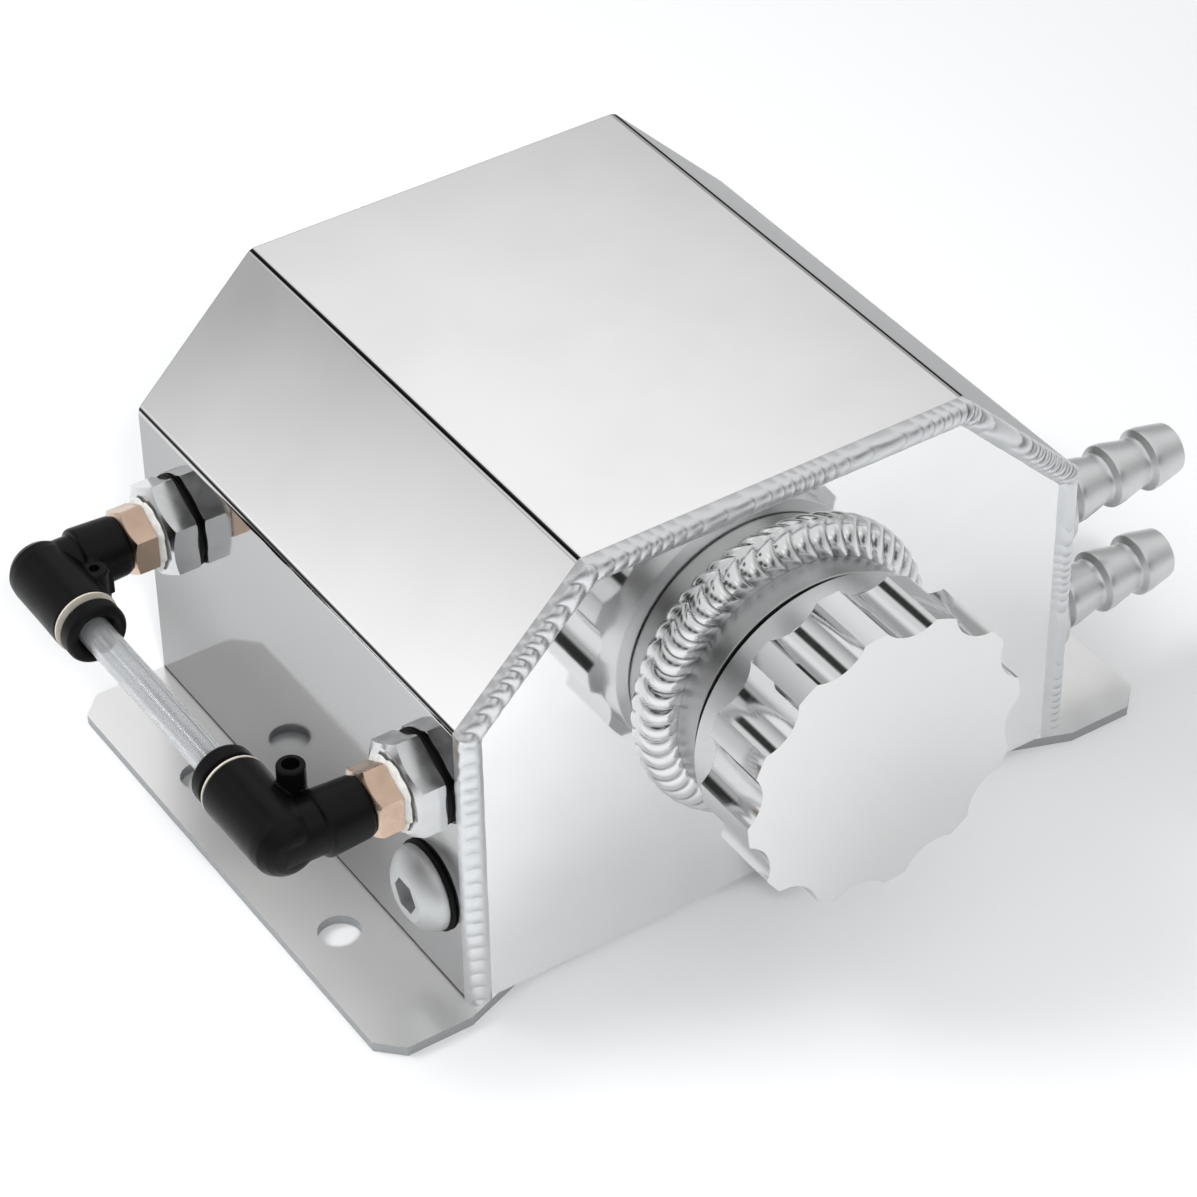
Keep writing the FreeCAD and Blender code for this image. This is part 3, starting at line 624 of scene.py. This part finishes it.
def ring_rows(inner, outer, height, ripples, lean, steps, relief):
    """Sections of a rippled ring weld round +Z: a full fillet from a tube's wall down to the sheet."""
    pitch = 2 * math.pi / ripples
    rows = []
    for i in range(ripples * steps):
        angle = 2 * math.pi * i / (ripples * steps)
        wander = math.sin(3 * angle + 1) + 0.6 * math.sin(7 * angle)
        along = Vector((math.cos(angle), math.sin(angle), 0))
        row = []
        for k in range(17):
            t = k / 16
            swell = ripple(angle, 2 * t - 1, lean * pitch, pitch)
            sweep = math.radians(90 * (1 - t))
            proud = relief * (swell - 0.6) * (0.25 + 0.75 * math.sin(math.pi * t) ** 0.5)
            reach = outer - inner + proud + 0.05 * wander * t
            radius = inner + reach * math.cos(sweep)
            station = (height + proud) * math.sin(sweep)
            row.append(along * radius + Vector((0, 0, station)))
        row.append(along * inner)
        rows.append(row)
    return rows


rows = ring_rows(NECK_RADIUS + WELD_GAP, RING_OUTER, RING_HEIGHT, RING_RIPPLES, RING_LEAN, 16, RING_RELIEF)
neck_ring = grid_skin("neck_weld_ring", rows, closed=True)
seat(neck_ring, "neck_weld_ring", NECK_PLACE, FRONTWARD)
smooth(neck_ring, 60)
# The second colour is the painted shade in the ring's grooves, darker than the beads'.
ring_finish = weld_metal("tig_ring", "#E4E4E4", "#56585A", grain=0.5, rough_low=0.15, rough_high=0.22)
dress(neck_ring, ring_finish, "root", ["neck_weld_bead"])


# Cap gasket: a flat nitrile ring under the cap, pressed on the neck's shoulder so that its outer edge
# bulges a little. It travels with the cap.
GASKET = 0.7


def soft_black(name, tone, rough, grains, deep):
    """Black rubber or nylon: near black, satin, with the fine grain that its mould left, in mm."""
    material, tree, place = new_material(name)
    grain = add(tree, "TexNoise", {"Vector": place, "Scale": 1 / (grains * MM), "Detail": 3.0}, "Fac")
    cloud = add(tree, "TexNoise", {"Vector": place, "Scale": 1 / (4 * MM), "Detail": 3.0}, "Fac")
    colour = add(tree, "Mix", {0: cloud, 6: linear(tone), 7: linear("#0A0A0A")}, 2, data_type="RGBA")
    rough = add(tree, "MapRange", {0: cloud, 1: 0.3, 2: 0.7, 3: rough, 4: rough + 0.08})
    relief = add(tree, "Bump", {"Height": grain, "Distance": deep * MM, "Strength": 1.0})
    skin = {"Base Color": colour, "Roughness": rough, "IOR": 1.24, "Normal": relief}
    add(tree, "OutputMaterial", {"Surface": add(tree, "BsdfPrincipled", skin)})
    return material


rubber = soft_black("nitrile_rubber", "#050505", rough=0.5, grains=0.4, deep=0.006)
gasket = turned("cap_gasket_ring", [
    (NECK_SHOULDER, SPIGOT_RADIUS + 0.1), (NECK_SHOULDER, NECK_RADIUS - 0.6),
    (NECK_SHOULDER + 0.5 * GASKET, NECK_RADIUS - 0.4), (NECK_SHOULDER + GASKET, NECK_RADIUS - 0.6),
    (NECK_SHOULDER + GASKET, SPIGOT_RADIUS + 0.1)], NECK_PLACE, FRONTWARD, 128)
smooth(gasket)
dress(gasket, rubber, "cap_carrier", ["cap_gasket"])


# Filler cap: turned from aluminium bar, then milled with twelve scallops that leave finger grips. Its face
# is polished bright, and a plain skirt below the grips closes on the gasket.
CAP_RADIUS = 28.5
CAP_SKIRT_RADIUS = 26.2
CAP_SKIRT_END = 17.3
CAP_FACE = 31.0
CAP_BORE_DEPTH = 11.0
CAP_START = NECK_SHOULDER + GASKET
CAP_REAR_CHAMFER = 1.3
CAP_EDGE = 0.42
CAP_LOBES = 12
CAP_LOBE_ANGLE = 6.0
SCALLOP_RADIUS = 7.5
SCALLOP_DEPTH = 2.5
CREST_STEPS = 6
SCALLOP_STEPS = 16


def lobed_outline():
    """Points of the cap's outline: for each grip, a round crest and then a scallop."""
    reach = CAP_RADIUS - SCALLOP_DEPTH + SCALLOP_RADIUS
    cosine = (CAP_RADIUS ** 2 + reach ** 2 - SCALLOP_RADIUS ** 2) / (2 * CAP_RADIUS * reach)
    half_scallop = math.acos(cosine)
    half_crest = math.pi / CAP_LOBES - half_scallop
    wrap = math.asin(CAP_RADIUS * math.sin(half_scallop) / SCALLOP_RADIUS)
    points = []
    for lobe in range(CAP_LOBES):
        middle = math.radians(CAP_LOBE_ANGLE) + 2 * math.pi * lobe / CAP_LOBES
        for k in range(CREST_STEPS):
            angle = middle + half_crest * (2 * k / CREST_STEPS - 1)
            points.append((CAP_RADIUS * math.cos(angle), CAP_RADIUS * math.sin(angle)))
        axis = middle + math.pi / CAP_LOBES
        for k in range(SCALLOP_STEPS):
            turn = wrap * (1 - 2 * k / SCALLOP_STEPS)
            angle = axis + math.pi + turn
            points.append((reach * math.cos(axis) + SCALLOP_RADIUS * math.cos(angle),
                           reach * math.sin(axis) + SCALLOP_RADIUS * math.sin(angle)))
    return points


outline = lobed_outline()
clear()
bpy.ops.mesh.primitive_circle_add(vertices=len(outline), radius=CAP_RADIUS * MM, fill_type="NGON")
cap = bpy.context.object
for vertex, (x, y) in zip(cap.data.vertices, outline):
    vertex.co = (x * MM, y * MM, CAP_FACE * MM)
bpy.ops.object.mode_set(mode="EDIT")
bpy.ops.mesh.select_all(action="SELECT")
bpy.ops.mesh.extrude_region_move(TRANSFORM_OT_translate={"value": (0, 0, (CAP_SKIRT_END - CAP_FACE) * MM)})
bpy.ops.mesh.extrude_region_move(TRANSFORM_OT_translate={"value": (0, 0, 0)})
bpy.ops.object.mode_set(mode="OBJECT")
for vertex in cap.data.vertices:
    if vertex.select:
        flat = Vector((vertex.co.x, vertex.co.y, 0))
        vertex.co = flat.normalized() * CAP_SKIRT_RADIUS * MM + Vector((0, 0, vertex.co.z))
bpy.ops.object.mode_set(mode="EDIT")
extrude_along([(CAP_SKIRT_END, CAP_SKIRT_RADIUS), (CAP_START + CAP_REAR_CHAMFER, CAP_SKIRT_RADIUS),
               (CAP_START, NECK_RADIUS - 0.3), (CAP_START, SPIGOT_RADIUS + 0.1),
               (CAP_START + CAP_BORE_DEPTH, SPIGOT_RADIUS + 0.1)])
face_outwards()
seat(cap, "cap_billet", NECK_PLACE, FRONTWARD)
edged(cap, CAP_EDGE, 3, 30)
# The cap's grips and skirt get painted shade on their sides.
cap_finish = lathe_metal("polished_cap", "#E0E0E0", 0.06, 0.10, NECK_PLACE, FRONTWARD, rings=0.6,
                         deep=0.00035, dull_to=CAP_SKIRT_END)
dress(cap, cap_finish, "cap", ["filler_cap"])


# Sight fittings, one at each end of the left side: a rubber washer, an aluminium hexagon screwed into a
# bung behind the panel, a brass stud with white thread sealant, and a black push-in elbow on the stud.
LEFTWARD = (-1, 0, 0)
TUBE_X = -93.0
WASHER = 0.8
ADAPTOR_FLATS = 17.0
ADAPTOR_END = 6.2
STUD_FLATS = 12.0
STUD_START = 7.6
STUD_END = 12.6
SOCKET_FACE = 16.0
GUIDE_FACE = 16.4
STUD_BORE_RADIUS = 4.0
TUBE_SOCKET_RADIUS = 4.5
NUB_PLACE = (6.6, 7.4, 0)
HEX_EDGE = 0.16


def hexagon(name, flats, start, end, shank, bore, place):
    """Hexagon bar with a flat to the front, corners turned off at its outer end, on a round shank. The
    shank and the bore are lists of (radius, from, to) in mm."""
    corner = flats / math.sqrt(3)
    clear()
    bpy.ops.mesh.primitive_cylinder_add(vertices=6, radius=corner * MM, depth=(end - start) * MM,
                                        location=(0, 0, (start + end) / 2 * MM),
                                        rotation=(0, 0, math.radians(30)))
    bar = bpy.context.object
    bpy.ops.object.transform_apply()
    rise = (corner - flats / 2 + 0.6) * math.tan(math.radians(30))
    envelope = turned("envelope", [(start - 0.1, corner - 0.5), (start + 0.2, corner + 0.1),
                                   (end - rise, corner + 0.1), (end + 0.1, flats / 2 - 0.75)],
                      (0, 0, 0), (0, 0, 1), 96, solid=True)
    cut(bar, envelope, "INTERSECT")
    for radius, near, far in shank:
        cut(bar, drill(radius, near, far, (0, 0, 0)), "UNION")
    for radius, near, far in bore:
        cut(bar, drill(radius, near, far, (0, 0, 0)))
    seat(bar, name, place, LEFTWARD)
    bpy.ops.object.mode_set(mode="EDIT")
    face_outwards()
    edged(bar, HEX_EDGE, 2, 20)
    return bar


def plated_brass():
    """Brass under a thin nickel flash: pinkish tan, satin, faintly darker in cloudy patches."""
    material, tree, place = new_material("flashed_brass")
    cloud = add(tree, "TexNoise", {"Vector": place, "Scale": 1 / (6 * MM), "Detail": 2.0}, "Fac")
    drawn = add(tree, "Mapping", {0: place, 3: (1, 1 / 6, 1 / 6)})
    lines = add(tree, "TexNoise", {"Vector": drawn, "Scale": 1 / (0.25 * MM), "Detail": 2.0}, "Fac")
    patch = add(tree, "MapRange", {0: cloud, 1: 0.35, 2: 0.65, 3: 0.0, 4: 1.0})
    tone = add(tree, "Mix", {0: patch, 6: linear("#D3BAA6"), 7: linear("#C4AB97")}, 2, data_type="RGBA")
    rough = add(tree, "MapRange", {0: cloud, 1: 0.3, 2: 0.7, 3: 0.2, 4: 0.34})
    relief = add(tree, "Bump", {"Height": lines, "Distance": 0.003 * MM, "Strength": 1.0})
    skin = {"Base Color": tone, "Metallic": 1.0, "Roughness": rough, "Normal": relief}
    add(tree, "OutputMaterial", {"Surface": add(tree, "BsdfPrincipled", skin)})
    return material


def machined_metal():
    """Milled and turned aluminium, plain: light grey with a fine drag of the tool along the axis."""
    material, tree, place = new_material("machined_hexagon")
    cloud = add(tree, "TexNoise", {"Vector": place, "Scale": 1 / (5 * MM), "Detail": 4.0}, "Fac")
    drawn = add(tree, "Mapping", {0: place, 3: (1, 1 / 8, 1 / 8)})
    lines = add(tree, "TexNoise", {"Vector": drawn, "Scale": 1 / (0.2 * MM), "Detail": 2.0}, "Fac")
    tone = add(tree, "Mix", {0: cloud, 6: linear("#DCDDDE"), 7: linear("#C6C7C8")}, 2, data_type="RGBA")
    rough = add(tree, "MapRange", {0: cloud, 1: 0.3, 2: 0.7, 3: 0.14, 4: 0.26})
    relief = add(tree, "Bump", {"Height": lines, "Distance": 0.0025 * MM, "Strength": 1.0})
    skin = {"Base Color": tone, "Metallic": 1.0, "Roughness": rough, "Normal": relief}
    add(tree, "OutputMaterial", {"Surface": add(tree, "BsdfPrincipled", skin)})
    return material


def thread_sealant():
    """Dried white sealant squeezed out of a thread: matte, lumpy, slightly grey."""
    material, tree, place = new_material("thread_sealant")
    lumps = add(tree, "TexNoise", {"Vector": place, "Scale": 1 / (0.7 * MM), "Detail": 4.0}, "Fac")
    tone = add(tree, "Mix", {0: lumps, 6: linear("#B9B9B6"), 7: linear("#DEDEDB")}, 2, data_type="RGBA")
    relief = add(tree, "Bump", {"Height": lumps, "Distance": 0.12 * MM, "Strength": 1.0})
    skin = {"Base Color": tone, "Roughness": 0.6, "Normal": relief}
    add(tree, "OutputMaterial", {"Surface": add(tree, "BsdfPrincipled", skin)})
    return material


def pale_moulding():
    """Natural acetal ring: warm pale grey, satin."""
    material, tree, place = new_material("natural_acetal")
    cloud = add(tree, "TexNoise", {"Vector": place, "Scale": 1 / (2 * MM), "Detail": 3.0}, "Fac")
    tone = add(tree, "Mix", {0: cloud, 6: linear("#B7B0A4"), 7: linear("#D2CCC1")}, 2, data_type="RGBA")
    relief = add(tree, "Bump", {"Height": cloud, "Distance": 0.01 * MM, "Strength": 1.0})
    skin = {"Base Color": tone, "Roughness": 0.38, "IOR": 1.48, "Normal": relief}
    add(tree, "OutputMaterial", {"Surface": add(tree, "BsdfPrincipled", skin)})
    return material


adaptor_finish = machined_metal()
stud_finish = plated_brass()
sealant_finish = thread_sealant()
nylon = soft_black("black_nylon", "#050506", rough=0.34, grains=0.5, deep=0.008)
collar_finish = soft_black("black_acetal", "#050506", rough=0.40, grains=0.5, deep=0.006)
acetal = pale_moulding()


def elbow(name, place, flip):
    """Moulded elbow: a turned sleeve for the stud, a barrel for the tube with a domed end, a parting rib
    round the bend, and a hollow nub in the inner corner. Its edges are softened as a mould leaves them."""
    sleeve = turned("sleeve", [(6.4, 5.3), (6.7, 6.0), (7.3, 6.15), (14.8, 5.75), (15.4, 5.4)],
                    (0, 0, 0), (1, 0, 0), 72, solid=True)
    neck = drill(5.2, -2, 8, (0, 0, 0), (1, 0, 0))
    barrel = turned("barrel", [(-4.8, 2.8), (-4.4, 3.9), (-3.4, 5.1), (-1.9, 6.0), (0, 6.2), (9, 6.2),
                               (15.7, 6.3), (SOCKET_FACE, 6.1)], (0, 0, 0), (0, 1, 0), 72, solid=True)
    rib = block((-5.9, -4.9, -1.5), (6.8, 6.2, 1.3))
    select_edges(rib, lambda a, b: abs(a.z - b.z) > 2 and a.x < 0)
    bpy.ops.mesh.bevel(offset=5.0 * MM, segments=10)
    clear()
    web = block((3.0, 3.0, -2.2), (9.4, 9.4, 2.2))
    nub = turned("nub", [(-3.4, 2.3), (-3.1, 2.6), (0, 2.6), (8.1, 2.6), (8.3, 2.45)], NUB_PLACE, (0, 0, 1),
                 48, solid=True)
    for part in (sleeve, neck, barrel, web, nub):
        cut(rib, part, "UNION")
    apply(rib, "REMESH", mode="VOXEL", voxel_size=0.17 * MM)
    apply(rib, "SMOOTH", factor=0.5, iterations=12)
    cut(rib, drill(1.6, 6.4, 9.5, NUB_PLACE))
    cut(rib, drill(1.0, 2.2, 4.0, (NUB_PLACE[0], NUB_PLACE[1], 0), (0, 0, -1)))
    cut(rib, drill(STUD_BORE_RADIUS, 7.0, 20.0, (0, 0, 0), (1, 0, 0)))
    cut(rib, drill(TUBE_SOCKET_RADIUS, 8.0, 18.0, (0, 0, 0), (0, 1, 0)))
    if flip:
        rib.data.transform(Matrix.Rotation(math.pi, 4, "X"))
    seat(rib, name, place)
    smooth(rib, 50)
    return rib


for where, y, onward in (("front", FRONT_FITTING_Y, (0, 1, 0)), ("rear", REAR_FITTING_Y, (0, -1, 0))):
    panel = (-SIDE_X, y, UPPER_Z)
    seal = turned(f"sight_washer_{where}", [(0, 7.1), (0, 8.9), (0.4, 9.05), (WASHER, 8.9), (WASHER, 7.1)],
                  panel, LEFTWARD)
    smooth(seal)
    dress(seal, rubber, "root", [f"sight_seal_{where}"])
    adaptor = hexagon(f"adaptor_{where}", ADAPTOR_FLATS, WASHER, ADAPTOR_END, [(6.9, -7.0, WASHER + 0.5)],
                      [(4.9, -2.0, 7.0), (2.5, -8.0, 0.0)], panel)
    dress(adaptor, adaptor_finish, "root", [f"hex_adaptor_{where}"])
    paste = turned(f"sealant_{where}", [(6.1, 4.87), (6.2, 6.5), (6.6, 7.0), (7.1, 6.7), (7.6, 5.8),
                                        (7.7, 4.87)], panel, LEFTWARD, 72)
    for vertex in paste.data.vertices:
        out = (vertex.co - Vector(panel) * MM) * Vector((0, 1, 1))
        angle = math.atan2(out.z, out.y)
        lump = 1 + 0.045 * math.sin(3 * angle + 1) + 0.035 * math.sin(8 * angle) + 0.02 * math.sin(17 * angle)
        if out.length > 5.2 * MM:
            vertex.co += out * (lump - 1)
    smooth(paste, 60)
    dress(paste, sealant_finish, "root", [f"thread_seal_{where}"])
    stud = hexagon(f"stud_{where}", STUD_FLATS, STUD_START, STUD_END,
                   [(4.85, -1.5, STUD_START + 0.5), (3.95, 12.0, 21.0)], [(2.0, -2.5, 22.0)], panel)
    dress(stud, stud_finish, "root", [f"elbow_stud_{where}"])
    middle = (TUBE_X, y, UPPER_Z)
    dress(elbow(f"elbow_{where}", middle, where == "rear"), nylon, "root",
          [f"elbow_body_{where}"])
    guide = turned(f"guide_{where}", [(12.4, 3.95), (12.4, 4.5), (SOCKET_FACE, 4.5), (SOCKET_FACE, 6.25),
                                      (GUIDE_FACE, 6.25), (GUIDE_FACE, 3.95)], middle, onward)
    edged(guide, 0.1)
    dress(guide, acetal, "root", [f"guide_ring_{where}"])
    collar = turned(f"collar_{where}", [(12.2, 3.1), (12.2, 3.85), (17.5, 3.85), (17.5, 5.85), (17.8, 5.95),
                                        (20.1, 5.95), (20.8, 5.5), (20.8, 4.5), (19.8, 3.4), (19.2, 3.1)],
                    middle, onward)
    edged(collar, 0.2)
    dress(collar, collar_finish, f"{where}_release", [f"release_collar_{where}"])
    dress_node(f"sight_bung_{where}", adaptor_finish)
    dress_node(f"tube_o_ring_{where}", rubber)


# Grab rings: stainless spring rings in the elbows, whose teeth hold the tube. No side shows them, so they
# stay as they were packed.
def spring_steel():
    """Rolled stainless strip: grey, half bright."""
    material, tree, place = new_material("stainless_strip")
    drawn = add(tree, "Mapping", {0: place, 3: (1 / 8, 1, 1 / 8)})
    lines = add(tree, "TexNoise", {"Vector": drawn, "Scale": 1 / (0.3 * MM), "Detail": 2.0}, "Fac")
    tone = add(tree, "Mix", {0: lines, 6: linear("#A9ABAD"), 7: linear("#C9CBCD")}, 2, data_type="RGBA")
    skin = {"Base Color": tone, "Metallic": 1.0, "Roughness": 0.28}
    add(tree, "OutputMaterial", {"Surface": add(tree, "BsdfPrincipled", skin)})
    return material


spring_finish = spring_steel()
for where in ("front", "rear"):
    dress_node(f"grab_ring_{where}", spring_finish)


# Sight tube: 6 mm clear rigid polyamide tube, drawn smooth, pushed into the two elbows. The oil's level
# shows in it.
TUBE_RADIUS = 3.0
TUBE_BORE_RADIUS = 2.0
TUBE_STOP = 5.0
TUBE_END = REAR_FITTING_Y - FRONT_FITTING_Y - TUBE_STOP


def clear_tube():
    """Clear drawn tube: nearly colourless and glossy, slightly milky in faint patches."""
    material, tree, place = new_material("clear_polyamide")
    drawn = add(tree, "Mapping", {0: place, 3: (1, 1 / 8, 1)})
    cloud = add(tree, "TexNoise", {"Vector": drawn, "Scale": 1 / (3 * MM), "Detail": 2.0}, "Fac")
    clarity = add(tree, "MapRange", {0: cloud, 1: 0.3, 2: 0.7, 3: 0.78, 4: 0.86})
    skin = {"Base Color": linear("#DADCDE"), "Roughness": 0.10, "IOR": 1.45, "Transmission Weight": clarity}
    add(tree, "OutputMaterial", {"Surface": add(tree, "BsdfPrincipled", skin)})
    return material


tube = turned("tube_clear", [(TUBE_STOP, TUBE_BORE_RADIUS), (TUBE_STOP, TUBE_RADIUS),
                             (TUBE_END, TUBE_RADIUS), (TUBE_END, TUBE_BORE_RADIUS)],
              (TUBE_X, FRONT_FITTING_Y, UPPER_Z), (0, 1, 0), 64)
smooth(tube)
dress(tube, clear_tube(), "root", ["sight_tube"])


# Drain plug: a turned aluminium plug with a low domed head, a hexagon socket and a short thread, on a
# rubber washer. It screws into a bung behind the panel.
DRAIN_PLACE = (-SIDE_X, FRONT_FITTING_Y, LOWER_Z)
PLUG_HEAD = [(WASHER, 8.2), (1.7, 8.2), (2.5, 7.95), (3.5, 7.25), (4.5, 6.1), (5.2, 4.8)]
SHANK_RADIUS = 5.3
SHANK_CREST_RADIUS = 5.85
PLUG_PITCH = 1.5
KEY_FLATS = 6.0
PLUG_EDGE = 0.2
WASHER_TOP = WASHER - 0.02
washer = turned("drain_washer", [(0, 6.1), (0, 8.5), (0.4, 8.7), (WASHER_TOP, 8.5), (WASHER_TOP, 6.1)],
                DRAIN_PLACE, LEFTWARD)
smooth(washer)
dress(washer, rubber, "plug_carrier", ["drain_seal"])
plug = turned("plug_turning", [(-8.5, 4.7), (-7.9, SHANK_RADIUS), (WASHER, SHANK_RADIUS)] + PLUG_HEAD,
              (0, 0, 0), (0, 0, 1), 96, solid=True)
clear()
bpy.ops.mesh.primitive_cylinder_add(vertices=6, radius=KEY_FLATS / math.sqrt(3) * MM, depth=8 * MM,
                                    location=(0, 0, 5.7 * MM))
cut(plug, bpy.context.object)
seat(plug, "plug_turning", DRAIN_PLACE, LEFTWARD)
edged(plug, PLUG_EDGE, 2, 24)
plug_finish = lathe_metal("turned_plug", "#CDCFD0", 0.46, 0.54, DRAIN_PLACE, LEFTWARD, rings=0.4, deep=0.0015)
dress(plug, plug_finish, "plug", ["drain_plug"])
plug_thread = thread("plug_thread", SHANK_RADIUS, SHANK_CREST_RADIUS, -7.6, 0.4, PLUG_PITCH, DRAIN_PLACE,
                     LEFTWARD, 48)
dress(plug_thread, plug_finish, "plug")
dress_node("drain_bung", adaptor_finish)


# Hose tails: turned from aluminium bar with a round boss and three sawtooth barbs, and welded to the right
# side by a small ring of weld each. Left as turned, so they are duller than the tank.
BOSS_RADIUS = 8.6
BOSS_LENGTH = 4.5
BARB_VALLEY_RADIUS = 4.8
BARB_RIDGE_RADIUS = 6.1
BARB_BORE_RADIUS = 3.5
BARB_PITCH = 8.8
TAIL_EDGE = 0.28
RIGHTWARD = (1, 0, 0)


def barb_profile():
    """Profile of a hose tail in mm: register, boss, three barbs and tip."""
    profile = [(-SHEET, BARB_BORE_RADIUS), (-SHEET, 5.45), (0, 5.45), (0, BOSS_RADIUS),
               (BOSS_LENGTH, BOSS_RADIUS), (BOSS_LENGTH, BARB_VALLEY_RADIUS)]
    for stage in range(3):
        station = BOSS_LENGTH + 2.6 + stage * BARB_PITCH
        profile += [(station, BARB_VALLEY_RADIUS), (station + 0.7, BARB_RIDGE_RADIUS),
                    (station + 2.4, BARB_RIDGE_RADIUS - 0.1)]
        if stage < 2:
            profile += [(station + BARB_PITCH - 1.2, BARB_VALLEY_RADIUS)]
    tip = profile[-1][0] + BARB_PITCH - 3.2
    return profile + [(tip - 0.3, BARB_VALLEY_RADIUS + 0.1), (tip, BARB_VALLEY_RADIUS - 0.4),
                      (tip, BARB_BORE_RADIUS)]


for level, z in (("upper", UPPER_Z), ("lower", LOWER_Z)):
    foot = (SIDE_X, FRONT_FITTING_Y, z)
    tail = turned(f"tail_{level}", barb_profile(), foot, RIGHTWARD)
    edged(tail, TAIL_EDGE, 2, 25)
    tail_finish = lathe_metal(f"turned_tail_{level}", "#D4D5D6", 0.29, 0.42, foot, RIGHTWARD, rings=0.45,
                              deep=0.004)
    dress(tail, tail_finish, "root", [f"hose_tail_{level}"])
    rows = ring_rows(BOSS_RADIUS + WELD_GAP, BOSS_RADIUS + 1.75, height=1.5, ripples=20, lean=1.0, steps=10,
                     relief=0.25)
    foot_ring = grid_skin(f"tail_ring_{level}", rows, closed=True)
    seat(foot_ring, f"tail_ring_{level}", foot, RIGHTWARD)
    smooth(foot_ring, 70)
    dress(foot_ring, bead_finish, "root", [f"hose_tail_weld_{level}"])


# Studio: a plain pale floor, a soft dome with bright and dark panels that the polished metal mirrors, a
# soft lamp from the back left, a soft spot on the floor before the tank that the front plate mirrors, and
# the camera at the photograph's angle.
CAMERA_PLACE = Vector((-326.85, -501.10, 519.82))
CAMERA_TARGET = Vector((-1.619, 1.0, 27.062))
CAMERA_ROLL = -0.925
CAMERA_LENS = 125.68
FLOOR_DROP = 0.2
# The dome's panels: azimuth from +Y to +X, elevation, where each is full and where it ends, all in degrees,
# and how bright it is.
PANELS = [(30, 41, 3, 10, 1.05), (-50, 17, 7, 12, 1.10), (-112, 28, 8, 14, 0.03), (-138, 20, 9, 14, 0.03),
          (-160, 8, 7, 12, 0.03), (155, 12, 8, 14, 0.06), (85, 20, 10, 25, 1.0), (-118, 62, 7, 11, 0.05),
          (138, 20, 6, 10, 0.05), (178, 32, 7, 12, 1.2), (-8, 48, 7, 11, 0.04), (145, 42, 6, 12, 1.1)]
clear()
bpy.ops.mesh.primitive_plane_add(size=6)
floor = bpy.context.object
floor.name = "studio_floor"
floor.location.z = -FLOOR_DROP * MM
bpy.ops.object.transform_apply()
material, tree, place = new_material("pale_paper")
cloud = add(tree, "TexNoise", {"Vector": place, "Scale": 1 / (400 * MM), "Detail": 2.0}, "Fac")
tone = add(tree, "Mix", {0: cloud, 6: linear("#E3E5E6"), 7: linear("#E9EAEB")}, 2, data_type="RGBA")
skin = {"Base Color": tone, "Roughness": 0.9}
add(tree, "OutputMaterial", {"Surface": add(tree, "BsdfPrincipled", skin)})
floor.data.materials.append(material)

world = bpy.data.worlds.new("studio_dome")
world.use_nodes = True
bpy.context.scene.world = world
tree = world.node_tree
tree.nodes.clear()
way = add(tree, "TexCoord", {}, "Generated")
way = add(tree, "VectorMath", {0: way}, operation="NORMALIZE")
depth = add(tree, "SeparateXYZ", {0: way}, "Y")
height = add(tree, "SeparateXYZ", {0: way}, "Z")
low = add(tree, "MapRange", {0: depth, 1: -0.30, 2: 0.05, 3: 0.60, 4: 0.46})
rise = add(tree, "MapRange", {0: height, 1: 0.50, 2: 0.72, 3: 0.0, 4: 1.0})
glow = add(tree, "Mix", {0: rise, 2: low, 3: 0.9})
for azimuth, elevation, inner, outer, level in PANELS:
    turn, lift = math.radians(azimuth), math.radians(elevation)
    aim = (math.sin(turn) * math.cos(lift), math.cos(turn) * math.cos(lift), math.sin(lift))
    nearness = add(tree, "VectorMath", {0: way, 1: aim}, "Value", operation="DOT_PRODUCT")
    share = add(tree, "MapRange", {0: nearness, 1: math.cos(math.radians(outer)),
                                   2: math.cos(math.radians(inner)), 3: 0.0, 4: 1.0})
    glow = add(tree, "Mix", {0: share, 2: glow, 3: level})
sky = add(tree, "Background", {"Color": linear("#FFFFFF"), "Strength": glow})
add(tree, "OutputWorld", {"Surface": sky})


def lamp(kind, name, place, target, power):
    """Lamp in metres, aimed at a point, that no polished face mirrors. Gives its settings."""
    clear()
    bpy.ops.object.light_add(type=kind, location=place)
    source = bpy.context.object
    source.name = name
    source.data.energy = power
    source.rotation_mode = "QUATERNION"
    source.rotation_quaternion = (Vector(target) - Vector(place)).to_track_quat("-Z", "Y")
    source.visible_glossy = False
    return source.data


key = lamp("AREA", "key_panel", (-0.9, 0.9, 1.5), (0, 0, 0), 24)
key.shape = "SQUARE"
key.size = 0.9
front = lamp("SPOT", "front_spot", (-0.45, -1.2, 1.0), (-0.07, -0.08, 0), 170)
front.spot_size = math.radians(11)
front.spot_blend = 1.0
front.shadow_soft_size = 0.2

view = (CAMERA_TARGET - CAMERA_PLACE).normalized()
right = view.cross(Vector((0, 0, 1))).normalized()
up = right.cross(view)
roll = math.radians(CAMERA_ROLL)
right, up = right * math.cos(roll) + up * math.sin(roll), up * math.cos(roll) - right * math.sin(roll)
lens = bpy.data.cameras.new("camera")
lens.lens = CAMERA_LENS
lens.sensor_width = 36
lens.clip_start = 0.01
camera = bpy.data.objects.new("camera", lens)
bpy.context.scene.collection.objects.link(camera)
turn = Matrix((right, up, -view)).transposed().to_4x4()
camera.matrix_world = Matrix.Translation(CAMERA_PLACE * MM) @ turn
bpy.context.scene.camera = camera
bpy.context.scene.view_settings.view_transform = "Standard"
